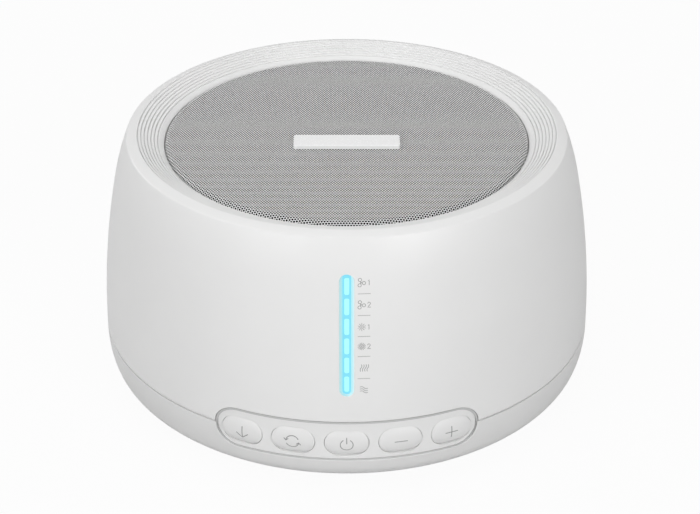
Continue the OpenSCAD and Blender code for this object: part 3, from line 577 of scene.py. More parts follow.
def lathe(profile, closed=True):
    """Points and faces of a half-section in (radius, height) turned about the axis."""
    profile = np.asarray(profile, float)
    count = len(profile)
    turn = np.arange(SEGMENTS) / SEGMENTS * TAU
    across = np.outer(np.cos(turn), profile[:, 0])
    along = np.outer(np.sin(turn), profile[:, 0])
    verts = np.stack([across, along, np.tile(profile[:, 1], (SEGMENTS, 1))], axis=2).reshape(-1, 3)
    faces = []
    for j in range(SEGMENTS):
        k = (j + 1) % SEGMENTS
        for i in range(count if closed else count - 1):
            n = (i + 1) % count
            faces.append((j * count + i, k * count + i, k * count + n, j * count + n))
    return verts, faces


def surface_y(x, z, lift=0.0):
    """Depth of the body's face at a place seen from the front, lifted outward."""
    return -(math.sqrt(max(outer_r(z) ** 2 - x * x, 0)) + lift)


def on_face(pts, centre_z, lift):
    """An outline laid on the front of the body, lifted outward."""
    return [(x, surface_y(x, z + centre_z, lift), z + centre_z) for x, z in pts]


# How far from the body's axis a front cutter's two flat ends are
CUT_FAR, CUT_NEAR = 60.0, 36.0


def front_cutter(name, sections, centre_z):
    """Closed loft through (outline, depth under the face) sections, from before the body to inside it."""
    rings = [on_face(pts, centre_z, -depth) for pts, depth in sections]
    front = [(x, -CUT_FAR, z) for x, _, z in rings[0]]
    back = [(x, -CUT_NEAR, z) for x, _, z in rings[-1]]
    return add_solid(name, [loft([front, *rings, back])])


# ---------------- shells
# How far under the lip's edge the outer wall's last point is, and the point its rounding starts from
WALL_STOP, LIP_FROM = 0.35, 0.3
# How far the inner wall falls in the curve under the roof
ROOF_FALL = 1
# The base keeps a thin lip in front of the seal: its width, its round edge and the depths of its back
SEAL_LIP, SEAL_LIP_ROUND = 0.22, 0.12
SEAL_LIP_DEPTHS = (0.36, 0.4)
# How far the cutters of holes stand out past a face
CUT_PAST = 1
# The light slot's (growth, depth) in its softened mouth and (share of the taper, depth) in its walls
SLOT_SOFT = [(0.16, -0.05), (0.08, 0.01)]
SLOT_WALLS = [(0.04, 0.08), (1, 0.72), (1, 0.9)]


def slot_wall(share):
    """Outline of the light slot's tapering walls, from the face (0) to the window (1)."""
    return bar(SLOT_MOUTH) * (1 - share) + bar(SLOT_FOOT) * share


def slot_sections():
    """The light slot: a softened mouth, then sides that close in from the body's face to the window."""
    mouth = [(bar(SLOT_MOUTH + more, SLOT_LENGTH + more), depth) for more, depth in SLOT_SOFT]
    return mouth + [(slot_wall(share), depth) for share, depth in SLOT_WALLS]


def band_point(distance):
    """A point on the stepped band, at a distance from the crest."""
    return CREST_R - BAND_W * distance / BAND_LENGTH, BODY_H - BAND_DROP * distance / BAND_LENGTH


def step_points(number):
    """One step of the band: its edge, its riser and the slit at the riser's foot."""
    r, z = band_point(STEP_START + number * STEP_PITCH)
    foot, low = r - STEP_LEAN, z - STEP_H
    slit = [(foot - SLIT_TAPER, low - SLIT_D), (foot - SLIT_W + SLIT_TAPER, low - SLIT_D)]
    return [(r, z), (foot, low), *slit, (foot - SLIT_W, low)]


def housing_profile():
    """Half-section of the housing: outer wall, lip, stepped band, ledge, inner wall and seam."""
    low = SEAM_TOP + SEAM_EDGE
    pts = [(outer_r(SEAM_TOP) - SEAM_EDGE, SEAM_TOP)]
    pts += [(outer_r(low) - SEAM_EDGE_CUT, SEAM_TOP + SEAM_EDGE_CUT)]
    pts += [(outer_r(z), z) for z in np.linspace(low, JOIN_Z, 41)[:-1]]
    pts += [(outer_r(z), z) for z in np.linspace(JOIN_Z, LIP_Z - WALL_STOP, 26)]
    rim = [(outer_r(LIP_Z - LIP_FROM), LIP_Z - LIP_FROM, 0), (CREST_R + LIP_W, LIP_Z, LIP_ROUND),
           (CREST_R, BODY_H, CREST_ROUND), (*band_point(STEP_START), 0)]
    pts += rounded(rim)[1:-1]
    for number in range(STEPS):
        pts += step_points(number)
    roof = BAND_Z - WALL
    side_z = roof - ROOF_FALL
    under = LEDGE_Z - LEDGE_T
    recess = [(*pts[-1], 0), (BAND_R, BAND_Z, BAND_ROUND), (RECESS_R, RING_Z, INNER_ROUND),
              (RECESS_R, LEDGE_Z, INNER_ROUND), (LEDGE_IN_R, LEDGE_Z, INNER_ROUND),
              (LEDGE_IN_R, under, INNER_ROUND), (RECESS_R + WALL, under, ROOF_ROUND),
              (RECESS_R + WALL, roof, ROOF_ROUND), (outer_r(roof, WALL), roof, SIDE_ROUND),
              (outer_r(side_z, WALL), side_z, 0)]
    pts += rounded(recess)[1:]
    pts += [(outer_r(z, WALL), z) for z in np.linspace(side_z, TONGUE_TOP, 31)[1:]]
    groove = BODY_R - WALL / 2 + FIT_GAP
    return pts + [(groove, TONGUE_TOP), (groove, SEAM_TOP)]


def base_profile():
    """Half-section of the base: floor, heel, outer wall, tongue, inner wall and floor."""
    end = math.degrees(math.asin((HEEL_JOIN_Z - HEEL_CZ) / HEEL_R))
    heel = (HEEL_CX, HEEL_CZ)
    pts = [(0, BASE_Z), (FLOOR_R, BASE_Z), (HEEL_CX, BASE_Z)]
    pts += arc(HEEL_R, -90, end, heel)[1:]
    pts += [(outer_r(z), z) for z in np.linspace(HEEL_JOIN_Z, SEAM_LOW - SEAM_EDGE, 25)[1:]]
    pts += [(outer_r(SEAM_LOW) - SEAM_EDGE_CUT, SEAM_LOW - SEAM_EDGE_CUT)]
    pts += [(outer_r(SEAM_LOW) - SEAM_EDGE, SEAM_LOW)]
    tongue = BODY_R - WALL / 2
    pts += [(tongue, SEAM_LOW), (tongue, TONGUE_TOP - TONGUE_CHAMFER), (tongue - TONGUE_CHAMFER, TONGUE_TOP)]
    pts += [(outer_r(z, WALL), z) for z in np.linspace(TONGUE_TOP, HEEL_JOIN_Z, 21)]
    pts += arc(HEEL_R - WALL, end, -90, heel, 16)[1:]
    return pts + [(FLOOR_R, BASE_Z + WALL), (0, BASE_Z + WALL)]


def four(radius, start):
    """Four places on a circle, a quarter turn apart."""
    return arc(radius, start, start + 270, steps=3)


def make_housing():
    """Upper shell with its bosses, cut for the light slot and for the panel."""
    obj = add_object("housing_shell", *lathe(housing_profile()), "shell_white")
    tidy(obj)
    bosses = rods(four(BOSS_CIRCLE_R, 45), SEAM_Z, BOSS_TOP_Z, BOSS_R)
    combine(obj, add_solid("bosses", bosses), "UNION")
    combine(obj, front_cutter("slot_cut", slot_sections(), SLOT_MID))
    outline = stadium(CAPSULE_W + CAPSULE_GAP, CAPSULE_H + CAPSULE_GAP)
    combine(obj, front_cutter("capsule_cut", grown(outline, edge_levels(CAPSULE_ROUND)), CAPSULE_Z))
    shade(obj, 24)
    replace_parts(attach(obj, "chassis"), "upper_housing")


def make_base():
    """Lower shell with its bosses, cut for screws, feet, ports and the panel."""
    obj = add_object("base_tray", *lathe(base_profile(), closed=False), "base_white")
    tidy(obj)
    places = four(BOSS_CIRCLE_R, 45)
    combine(obj, add_solid("bosses", rods(places, BASE_Z + WALL / 2, SEAM_Z, BOSS_R)), "UNION")
    holes = rods(places, -CUT_PAST, BASE_Z + COUNTERBORE_H, COUNTERBORE_R)
    holes += rods(four(FOOT_CIRCLE_R, 0), -CUT_PAST, BASE_Z + FOOT_POCKET_H, FOOT_POCKET_R)
    holes += rods([(JACK_X, JACK_Z)], *PORT_CUT, JACK_HOLE_R, along_y=True)
    combine(obj, add_solid("holes", holes))
    screw_holes = rods(places, -2 * CUT_PAST, SEAM_Z + CUT_PAST, SCREW_HOLE_R)
    combine(obj, add_solid("screw_holes", screw_holes))
    usb = stadium(USB_HOLE_W, USB_HOLE_H)
    usb_hole = loft([[(USB_X + x, y, USB_Z + z) for x, z in usb] for y in PORT_CUT])
    combine(obj, add_solid("usb_cut", [usb_hole]))
    levels = [(grow - SEAL_LIP, depth) for grow, depth in edge_levels(SEAL_LIP_ROUND)]
    levels += zip((-SEAL_LIP, 0.0), SEAL_LIP_DEPTHS)
    combine(obj, front_cutter("capsule_cut", grown(stadium(CAPSULE_W, CAPSULE_H), levels), CAPSULE_Z))
    shade(obj, 32)
    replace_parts(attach(obj, "chassis"), "base_shell")


make_housing()
make_base()


# ---------------- grille
HOLE_PITCH = 0.61
HOLE_R = 0.26
# A six-sided hole's corners stand out this much, so that it opens as far as a round one
HOLE_CORNER = 1.05
SHEET = 0.04
ROW_STEP = HOLE_PITCH * math.sin(math.pi / 3)
BEND = BEND_R * math.pi / 2
# Share of the bend that is pierced
BEND_HOLED = 0.86
# Radii in the flat blank: of the pierced part, of a ring of points outside it, and of the edge
HOLED_R = FLAT_R + BEND * BEND_HOLED
BETWEEN_R = HOLED_R + 1.0
BLANK_R = FLAT_R + BEND + (GRILLE_H - BEND_R)
WELD = 0.01


def press(flat, depth=0.0):
    """Carries points of the flat perforated sheet onto the pressed dish, sunk under its face."""
    rho = np.linalg.norm(flat, axis=1)
    beyond = np.clip(rho - FLAT_R, 0, None)
    angle = np.clip(beyond, 0, BEND) / BEND_R
    straight = np.clip(beyond - BEND, 0, None)
    radius = np.where(rho <= FLAT_R, rho, FLAT_R + (BEND_R - depth) * np.sin(angle))
    z = GRILLE_Z - BEND_R + (BEND_R - depth) * np.cos(angle) - straight
    scale = np.where(rho > 1e-9, radius / np.maximum(rho, 1e-9), 1)
    return np.stack([flat[:, 0] * scale, flat[:, 1] * scale, z], axis=1)


def cell_centre(column, row):
    """Place of a hole in the flat blank; odd rows stand half a pitch aside."""
    return (column + row % 2 / 2) * HOLE_PITCH, row * ROW_STEP


def nearest_cell(x, y):
    """Column and row of the hole place nearest to a point of the blank."""
    low = math.floor(y / ROW_STEP)
    near = [(round(x / HOLE_PITCH - row % 2 / 2), row) for row in (low, low + 1)]
    return min(near, key=lambda cell: math.dist((x, y), cell_centre(*cell)))


def pierced_cells():
    """Columns and rows of all the holes."""
    rows, columns = int(HOLED_R / ROW_STEP) + 1, int(HOLED_R / HOLE_PITCH) + 1
    grid = [(column, row) for row in range(-rows, rows + 1) for column in range(-columns, columns + 1)]
    return [cell for cell in grid if math.hypot(*cell_centre(*cell)) <= HOLED_R]


def plain_edge(cells, corners, shared):
    """Flat points and faces of the unpierced sheet outside the cells."""
    sides = Counter()
    for cell in shared.tolist():
        sides.update(tuple(sorted((cell[k], cell[(k + 1) % 6]))) for k in range(6))
    border = [side for side, used in sides.items() if used == 1]
    names = sorted({i for side in border for i in side})
    place = {name: i for i, name in enumerate(names)}
    circle = arc(BLANK_R, 0, 360, steps=480)[:-1]
    between = arc(BETWEEN_R, 0, 360, steps=360)[:-1]
    first, count = len(names), len(circle)
    edges = [(place[a], place[b]) for a, b in border]
    edges += [(first + i, first + (i + 1) % count) for i in range(count)]
    points = [Vector(p) for p in (*corners[names], *circle, *between)]
    flat, _, faces, *_ = delaunay_2d_cdt(points, edges, [], 0, 1e-6)
    flat = np.array([tuple(v) for v in flat])
    return flat, [f for f in faces if nearest_cell(*flat[list(f)].mean(axis=0)) not in cells]


def quarter_of(x, y):
    """Number, 0 to 3, of the quarter of the sheet that a point lies in."""
    return int(x > 0) + 2 * int(y > 0)


def make_grille():
    """The pressed sheet in four quarters: six-sided cells with a hole each, and a plain edge."""
    cells = pierced_cells()
    centres = np.array([cell_centre(*cell) for cell in cells])
    ring = np.array(arc(1, 30, 330, steps=5))
    corners = (centres[:, None] + ring * HOLE_PITCH / math.sqrt(3)).reshape(-1, 2)
    holes = (centres[:, None] + ring * HOLE_R * HOLE_CORNER).reshape(-1, 2)
    keys = np.round(corners / WELD).astype(int)
    _, index, shared = np.unique(keys, axis=0, return_index=True, return_inverse=True)
    corners, shared = corners[index], shared.reshape(-1, 6)
    flat, edge_faces = plain_edge(set(cells), corners, shared)
    verts = np.concatenate([press(corners), press(holes), press(holes), press(holes, SHEET), press(flat)])
    faces, count = [[], [], [], []], len(holes)
    for number, cell in enumerate(shared.tolist()):
        own = faces[quarter_of(*centres[number])]
        first = len(corners) + 6 * number
        for k in range(6):
            a, b = first + k, first + (k + 1) % 6
            own.append((cell[k], cell[(k + 1) % 6], b, a))
            own.append((a + count, b + count, b + 2 * count, a + 2 * count))
    first = len(corners) + 3 * count
    for face in edge_faces:
        faces[quarter_of(*flat[list(face)].mean(axis=0))].append([first + i for i in face])
    for quarter, own in enumerate(faces):
        used = sorted({i for face in own for i in face})
        number = {name: i for i, name in enumerate(used)}
        own = [[number[i] for i in face] for face in own]
        obj = add_object(f"grille_sheet_{quarter + 1}", verts[used], own, "grille_white")
        obj.data.polygons.foreach_set("use_smooth", np.ones(len(obj.data.polygons), bool))
        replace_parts(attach(obj, "chassis"), "grille")


make_grille()

SKIRT_GAP, SKIRT_T = 0.12, 0.25
SKIRT_ABOVE_LEDGE = 0.3


def make_skirt():
    """Black cloth that lines the inside of the pressed edge, under its holes."""
    outside = arc(BEND_R - SKIRT_GAP, 90, 0, (FLAT_R, GRILLE_Z - BEND_R), 9)
    outside.append((GRILLE_R - SKIRT_GAP, LEDGE_Z + SKIRT_ABOVE_LEDGE))
    bent, upright = outside[:-3], outside[-3:]
    inside = [(r - SKIRT_T, z - SKIRT_T) for r, z in bent] + [(r - SKIRT_T, z) for r, z in upright]
    obj = add_object("cloth_skirt", *lathe(outside + inside[::-1]), "cloth_black")
    tidy(obj)
    shade(obj, 40)
    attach(obj, "chassis")


make_skirt()

# ---------------- nameplate
PLATE_EDGE = 0.14
PLATE_TOP_INSET = 0.6


def make_plate():
    """Plate with a rounded upper edge."""
    turns = [math.radians(a) for a in (25, 50, 70, 90)]
    side = PLATE_H - PLATE_EDGE
    levels = [(0.0, 0.0), (0.0, side)]
    levels += [(PLATE_EDGE * (math.cos(a) - 1), side + PLATE_EDGE * math.sin(a)) for a in turns]
    levels += [(-PLATE_TOP_INSET, PLATE_H)]
    sections = grown(rounded_rect(PLATE_W, PLATE_D, PLATE_CORNER), levels)
    rings = [[(x, y - PLATE_FORWARD, GRILLE_Z + z) for x, y in pts] for pts, z in sections]
    obj = add_solid("name_plate", [loft(rings)], "plate_white")
    shade(obj, 40)
    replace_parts(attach(obj, "chassis"), "nameplate")


make_plate()


# ---------------- light bar
# The sheet that carries the painted glow, shade and highlight of the slot's walls: its (share of the slot's
# taper, depth) levels, how far its face stands off the slot's wall, and how far its hidden back sinks into
# that wall and is widened
GLOW_SHEET_LEVELS = [(0.06, 0.1), (0.35, 0.29), (0.7, 0.53), (1.0, 0.73)]
GLOW_SHEET_LIFT, GLOW_SHEET_SINK, GLOW_SHEET_WIDER = 0.012, 0.03, 1.02


def make_painted_glow_sheet():
    """Thin sheet that lines the walls of the slot and carries the window's light on them as painted glow,
    with painted shade on the left wall and a painted highlight on the right.
    """
    rings = [on_face(slot_wall(share), SLOT_MID, GLOW_SHEET_LIFT - depth) for share, depth in GLOW_SHEET_LEVELS]
    for share, depth in reversed(GLOW_SHEET_LEVELS):
        rings.append(on_face(slot_wall(share) * (GLOW_SHEET_WIDER, 1.0), SLOT_MID, -GLOW_SHEET_SINK - depth))
    obj = add_object("painted_glow_sheet", *skin(rings, wrap=True), "lining_cyan")
    tidy(obj)
    shade(obj, 50)
    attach(obj, "chassis")


def make_lights():
    """Bright cores of the lights, as low pads on the window."""
    levels = [(0.0, -0.02), (0.0, 0.03), (-0.1, 0.06), (-0.5, 0.07)]
    sections = grown(rounded_rect(LIGHT_W, LIGHT_H, LIGHT_CORNER, 5), levels)
    for i in range(LIGHTS):
        centre = LIGHTS_MID + (i - (LIGHTS - 1) / 2) * LIGHT_PITCH
        rings = [on_face(pts, centre, lift - WINDOW_SINK) for pts, lift in sections]
        obj = add_solid(f"light_core_{i + 1}", [loft(rings)], "core_cyan")
        shade(obj, 50)
        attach(obj, "chassis")


# Painted glow, shade and highlight on the slot's walls
make_painted_glow_sheet()
make_lights()

# ---------------- buttons
BUTTONS = ["timer", "loop", "power", "volume_down", "volume_up"]
# Each button's place in the row, counted from the middle one
PLACES = {name: number - len(BUTTONS) // 2 for number, name in enumerate(BUTTONS)}
EDGE_W = 1.7
EDGE_DROP = 0.24
CAP_GROW = 0.07
CROWN_R = BODY_R - 0.13
CROWN_ACROSS, CROWN_ABOVE, CROWN_BELOW = 80.0, 14.5, 10.5
CAP_BACK = 53.06
FLANGE_GROW, FLANGE_T = 0.8, 0.8
STEM_R, STEM_BACK = 1.5, 50.66
# Rings of points on a cap, as shares of its outline, closest together at the soft edge
CAP_SHARES = [1.0, 0.998, 0.992, 0.98, 0.965, 0.945, 0.92, 0.89]
CAP_SHARES += [0.85, 0.8, 0.74, 0.66, 0.56, 0.44, 0.3, 0.15]


def inside_edge(x, z):
    """Distance from a point to the button's outline, from inside."""
    away = max(abs(x) - (BUTTON_W - BUTTON_H) / 2, 0)
    return (BUTTON_H + CAP_GROW) / 2 - math.hypot(away, z)


def cap_y(x, z):
    """Distance of the button's face from the body's axis: a crown, steeper below, with a soft edge."""
    short = max(1 - inside_edge(x, z) / EDGE_W, 0)
    crown = x * x / CROWN_ACROSS + z * z / (CROWN_BELOW if z < 0 else CROWN_ABOVE)
    return CROWN_R - crown - EDGE_DROP * (1 - math.sqrt(max(1 - short * short, 0)))


def turned(points, place):
    """From a button's own frame (across, outward, up) to the row frame."""
    a = math.radians(place * BUTTON_ANGLE)
    out = []
    for x, y, z in points:
        out.append((x * math.cos(a) + y * math.sin(a), x * math.sin(a) - y * math.cos(a), z + BUTTON_Z))
    return out


def make_button(name, place):
    """Crowned cap, the flange that holds it in the panel and the stem behind it."""
    pts = stadium(BUTTON_W + CAP_GROW, BUTTON_H + CAP_GROW, 20)
    rings = [[(x, CAP_BACK, z) for x, z in pts]]
    rings += [[(x, cap_y(x, z), z) for x, z in pts * share] for share in CAP_SHARES]
    verts, faces = skin(rings)
    tip, n = len(verts), len(pts)
    verts.append((0, cap_y(0, 0), 0))
    faces += [(tip - n + i, tip - n + (i + 1) % n, tip) for i in range(n)]
    wide = stadium(BUTTON_W + FLANGE_GROW, BUTTON_H + FLANGE_GROW, 20)
    flange = loft([[(x, y, z) for x, z in wide] for y in (CAP_BACK, CAP_BACK - FLANGE_T)])
    ring = arc(STEM_R, 0, 360, steps=32)[:-1]
    stem = loft([[(x, y, z) for x, z in ring] for y in (CAP_BACK - FLANGE_T, STEM_BACK)], near_end=False)
    verts, faces = merged([(verts, faces), flange, stem])
    obj = add_object(f"{name}_cap", turned(verts, place), faces, "button_white")
    tidy(obj, 1e-8)
    shade(obj, 40)
    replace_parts(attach(obj, name), f"{name}_button")


for name, place in PLACES.items():
    make_button(name, place)

# ---------------- printed marks
PRINT_LIFT = 0.012
INK = 0.2
THIN = 0.13
RAY = 0.11
DIVIDER = 0.1


class Print:
    """Thin printed strokes laid on a face. place(u, v) gives the point of the face in the row frame."""

    def __init__(self, place):
        self.place, self.verts, self.faces = place, [], []

    def stroke(self, points, width, closed=False):
        """A line of even width through points, with round ends unless it is closed."""
        pts = divided(points, 0.25, closed)
        if closed:
            d = np.roll(pts, -1, axis=0) - np.roll(pts, 1, axis=0)
        else:
            d = np.gradient(pts, axis=0)
        d /= np.maximum(np.linalg.norm(d, axis=1, keepdims=True), 1e-9)
        side = np.stack([-d[:, 1], d[:, 0]], axis=1) * width / 2
        base, n = len(self.verts), len(pts)
        for p, s in zip(pts, side):
            self.verts += [self.place(*(p + s)), self.place(*(p - s))]
        for i in range(n if closed else n - 1):
            a, b = base + 2 * i, base + 2 * ((i + 1) % n)
            self.faces.append((a, a + 1, b + 1, b))
        if not closed:
            self.dot(pts[0], width / 2)
            self.dot(pts[-1], width / 2)

    def dot(self, centre, radius):
        """A filled disc."""
        base = len(self.verts)
        self.verts += [self.place(*p) for p in (centre, *arc(radius, 0, 330, centre, 11))]
        self.faces += [(base, base + 1 + s, base + 1 + (s + 1) % 12) for s in range(12)]

    def make(self, name, body):
        """One object of all the strokes and dots, which goes with a body."""
        obj = add_object(name, self.verts, self.faces, "ink_grey")
        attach(obj, body)


def loop_strokes():
    """Two arcs that chase each other, with an arrowhead each."""
    strokes = []
    for turn in (0, 180):
        bow = arc(1.42, 28 + turn, 172 + turn)
        heads = [arc(0.62, lean + turn, lean + turn, bow[-1], 1)[0] for lean in (38, 128)]
        strokes += [bow] + [[bow[-1], head] for head in heads]
    return strokes


BUTTON_STROKES = {
    "timer": [[(0.3, 1.35), (0.3, -1.35)], [(-1.0, -0.35), (0.3, -1.45), (1.6, -0.35)]],
    "loop": loop_strokes(),
    "power": [arc(1.36, 125, 415, (0, -0.1)), [(0, 0.25), (0, 1.6)]],
    "volume_down": [[(-1.35, 0), (1.35, 0)]],
    "volume_up": [[(-1.6, 0), (1.2, 0)], [(-0.2, -1.35), (-0.2, 1.35)]],
}


def make_mark(name, place):
    """The mark of one button, on its crowned face."""
    mark = Print(lambda u, v: turned([(u, cap_y(u, v) + PRINT_LIFT, v)], place)[0])
    for points in BUTTON_STROKES[name]:
        mark.stroke(points, INK)
    mark.make(f"{name}_mark", name)


for name, place in PLACES.items():
    make_mark(name, place)

# Heights of the pictograms and of the dividers between them
ICON_Z = [50.39, 45.66, 40.82, 36.49, 31.55, 26.43]
DIVIDER_Z = [48.02, 43.34, 38.71, 34.2, 29.08]
DIVIDER_X = (2.3, 4.83)
DIGIT_X, DIGIT_H = 4.58, 1.1
FAN_X, BURST_X = 2.9, 3.1
BLADE_TURNS = (110, 244, 350)
BLADE_R, BLADE_FROM_HUB, BLADE_ARM, HUB_R = 0.34, 0.62, 0.3, 0.15
FIRST_RAYS, MORE_RAYS = 10, 4
RAY_REACH, BURST_DOT_R = (0.3, 0.82), 0.14
RAIN_X, RAIN_PITCH, RAIN_HALF_H, RAIN_SWING = (2.85, 3.07), 0.47, 0.75, 0.12
WIND_X, WIND_PITCH, WIND_ENDS, WIND_SWING = (2.8, 4.35), 0.5, (0.68, 0.32), 0.16


def digit(mark, which, z):
    """The numeral 1 or 2."""
    x, h = DIGIT_X, DIGIT_H
    if which == 1:
        mark.stroke([(x - 0.2, z + h * 0.3), (x, z + h / 2), (x, z - h / 2)], THIN)
    else:
        bow = [(x - 0.3, z + h * 0.25), (x - 0.1, z + h / 2), (x + 0.2, z + h * 0.42)]
        tail = [(x + 0.28, z + h * 0.15), (x - 0.3, z - h / 2), (x + 0.32, z - h / 2)]
        mark.stroke(bow + tail, THIN)


def fan(mark, x, z):
    """Three round blades on a hub."""
    for turn in BLADE_TURNS:
        a = math.radians(turn)
        centre = (x + BLADE_FROM_HUB * math.cos(a), z + BLADE_FROM_HUB * math.sin(a))
        mark.stroke(arc(BLADE_R, turn - 180, turn + 180, centre, 14)[:-1], THIN, closed=True)
        mark.stroke([(x, z), (x + BLADE_ARM * math.cos(a), z + BLADE_ARM * math.sin(a))], THIN)
    mark.dot((x, z), HUB_R)


def burst(mark, x, z, count):
    """Rays round a dot."""
    for k in range(count):
        a = TAU * (k + 0.5) / count
        ray = [(x + reach * math.cos(a), z + reach * math.sin(a)) for reach in RAY_REACH]
        mark.stroke(ray, RAY)
    mark.dot((x, z), BURST_DOT_R)


def wave(mark, start, end, swing):
    """A stroke that swings once to both sides of the line from start to end."""
    start, end = np.array(start), np.array(end)
    way = end - start
    side = np.array([-way[1], way[0]]) / np.linalg.norm(way) * swing
    mark.stroke([start + way * k / 16 + side * math.sin(TAU * k / 16) for k in range(17)], THIN)


def make_icons():
    """Pictograms beside the lights: two fans, two bursts, rain and wind, with dividers between them."""
    marks = Print(lambda u, v: (u, surface_y(u, v, PRINT_LIFT), v))
    for number, z in enumerate(ICON_Z[:2]):
        fan(marks, FAN_X, z)
        digit(marks, number + 1, z)
    for number, z in enumerate(ICON_Z[2:4]):
        burst(marks, BURST_X, z, FIRST_RAYS + MORE_RAYS * number)
        digit(marks, number + 1, z)
    rain_z, wind_z = ICON_Z[4:]
    for k in range(4):
        low, high = (x + RAIN_PITCH * k for x in RAIN_X)
        wave(marks, (low, rain_z - RAIN_HALF_H), (high, rain_z + RAIN_HALF_H), RAIN_SWING)
    for k in range(3):
        ends = [(x, wind_z + z - WIND_PITCH * k) for x, z in zip(WIND_X, WIND_ENDS)]
        wave(marks, *ends, WIND_SWING)
    for z in DIVIDER_Z:
        marks.stroke([(x, z) for x in DIVIDER_X], DIVIDER)
    marks.make("light_marks", "chassis")


make_icons()

# ---------------- soft rings of the loudspeaker
FLEX_PARTS = 16
FLEX_STEPS = 5
SKIN_T = 0.5
LAND_IN_R, LAND_OUT_R = 21.0, 29.4
ROLL_AT = (25.0, 51.5)
ROLL_OUT_R, ROLL_FOOT = 2.4, 2.35
SPIDER_IN_R, SPIDER_OUT_R = 6.1, 19.25
SPIDER_Z = 36.6
SPIDER_WAVES, WAVE_STEPS, WAVE_W, WAVE_H = 3, 14, 3.5, 0.5
# Radii between which each ring bends: the diaphragm's side and the chassis's side
ROLL_BEND_R = (23.1, 26.9)
SPIDER_BEND_R = (6.4, 16.6)


def surround_profile():
    """Section of the surround: a flat land, a half roll and a flat land."""
    r, z = ROLL_AT
    top = z + SKIN_T
    pts = [(LAND_IN_R, z), (LAND_IN_R + 1, z), *arc(ROLL_OUT_R - SKIN_T, 180, 0, ROLL_AT, 16)]
    pts += [(LAND_OUT_R, z), (LAND_OUT_R, top), (r + ROLL_FOOT, top)]
    return pts + [*arc(ROLL_OUT_R, 22, 158, ROLL_AT, 17), (r - ROLL_FOOT, top), (LAND_IN_R, top)]


def spider_profile():
    """Section of the spider: waves from the coil outward, then a flat land."""
    under = []
    for k in range(SPIDER_WAVES * WAVE_STEPS + 1):
        rise = WAVE_H * (1 - math.cos(TAU * k / WAVE_STEPS))
        under.append((SPIDER_IN_R + WAVE_W * k / WAVE_STEPS, SPIDER_Z + rise))
    under.append((SPIDER_OUT_R, SPIDER_Z))
    return under + [(r, z + SKIN_T) for r, z in reversed(under)]


def make_flex(node, profile, moving_r, fixed_r, slot):
    """A ring between the diaphragm and the chassis, in equal sectors that meet edge to edge."""
    for part in range(FLEX_PARTS):
        turns = [TAU * (part + s / FLEX_STEPS) / FLEX_PARTS for s in range(FLEX_STEPS + 1)]
        rings = [[(r * math.cos(a), r * math.sin(a), z) for r, z in reversed(profile)] for a in turns]
        obj = add_object(f"{node}_{part + 1}", *skin(rings), slot)
        shade(obj, 40)
        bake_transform(obj)
        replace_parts(obj, node)


make_flex("surround", surround_profile(), *ROLL_BEND_R, "surround_rubber")
make_flex("spider", spider_profile(), *SPIDER_BEND_R, "spider_cloth")

# ---------------- studio, in metres
FLOOR_REACH = 3.0
FLOOR_SHARE = 0.95
TARGET = (0, 0, 0.03)
# Each lamp's name, place, size and power in watts
LAMPS = [
    ("top", (0, 0, 1.0), 0.8, 3.1),
    ("near_back", (0, 0.3, 0.38), 0.3, 0.25),
    ("left", (-0.8, -0.4, 0.7), 0.6, 2.2),
    ("right", (0.8, -0.4, 0.7), 0.6, 0.3),
    ("low_left", (-0.55, -0.85, 0.45), 0.5, 3.0),
    ("low_right", (0.55, -0.85, 0.45), 0.5, 4.85),
    ("back_left", (-0.75, 0.5, 0.35), 0.4, 1.75),
    ("back_right", (0.75, 0.5, 0.35), 0.4, 1.0),
]
CAMERA_PLACE = (0, -0.3943, 0.2571)
CAMERA_TARGET = (0, 0, 0.02603)


def aimed(obj, place, target):
    """Puts a lamp or the camera at a place, looking at a target."""
    bpy.context.scene.collection.objects.link(obj)
    obj.location = Vector(place)
    obj.rotation_euler = (Vector(target) - Vector(place)).to_track_quat("-Z", "Y").to_euler()


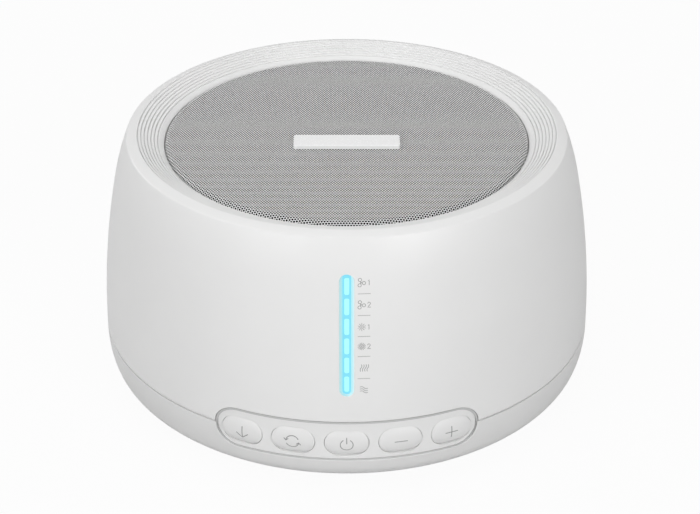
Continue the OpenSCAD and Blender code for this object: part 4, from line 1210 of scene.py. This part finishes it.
def seen_white(tree, surface_out, share, rays, output):
    """Shows plain white of strength 1 in place of a shader, for a share of the rays of the named kinds."""
    white = tree.nodes.new("ShaderNodeEmission")
    white.inputs["Color"].default_value = (1, 1, 1, 1)
    white.inputs["Strength"].default_value = 1.0
    path = tree.nodes.new("ShaderNodeLightPath")
    factor = path.outputs[rays[0]]
    for kind in rays[1:]:
        factor = maths(tree, "MAXIMUM", factor, path.outputs[kind])
    blend = tree.nodes.new("ShaderNodeMixShader")
    tree.links.new(maths(tree, "MULTIPLY", factor, share), blend.inputs[0])
    tree.links.new(surface_out, blend.inputs[1])
    tree.links.new(white.outputs[0], blend.inputs[2])
    tree.links.new(blend.outputs[0], tree.nodes[output].inputs["Surface"])


def make_floor():
    """Pale floor that shows white to the camera but for a share that keeps the object's shadow."""
    reach = FLOOR_REACH / MM
    corners = [(x * reach, y * reach, 0) for x, y in ((-1, -1), (1, -1), (1, 1), (-1, 1))]
    floor = add_object("floor", corners, [(0, 1, 2, 3)])
    tree, bsdf = new_material("floor_pale")
    tree.links.new(patchy(tree, 3.0, 3.0, (0.67, 0.67, 0.67), (0.68, 0.68, 0.68)), bsdf.inputs["Base Color"])
    bsdf.inputs["Roughness"].default_value = 0.9
    bsdf.inputs["Specular IOR Level"].default_value = 0.1
    seen_white(tree, bsdf.outputs[0], FLOOR_SHARE, ["Is Camera Ray"], "Material Output")
    floor.data.materials.append(MATERIALS["floor_pale"])


def make_world():
    """Faint even light, white where the camera, a reflection or glass looks into it."""
    world = bpy.data.worlds.new("studio")
    bpy.context.scene.world = world
    world.use_nodes = True
    background = world.node_tree.nodes["Background"]
    background.inputs["Color"].default_value = (1, 1, 1, 1)
    background.inputs["Strength"].default_value = 0.03
    rays = ["Is Camera Ray", "Is Glossy Ray", "Is Transmission Ray"]
    seen_white(world.node_tree, background.outputs[0], 1.0, rays, "World Output")


def make_lamps():
    """Square area lamps, all aimed at the middle of the object."""
    for name, place, size, power in LAMPS:
        data = bpy.data.lights.new(name, "AREA")
        data.energy, data.size = power, size
        aimed(bpy.data.objects.new(name, data), place, TARGET)


def make_camera():
    """The camera fitted to the photo."""
    data = bpy.data.cameras.new("camera")
    camera = bpy.data.objects.new("camera", data)
    aimed(camera, CAMERA_PLACE, CAMERA_TARGET)
    data.sensor_width = 36
    data.lens = 101.1
    data.shift_x = 0.0047
    data.clip_start = 0.01
    bpy.context.scene.camera = camera


make_floor()
make_world()
make_lamps()
make_camera()
bpy.context.scene.view_settings.view_transform = "Standard"
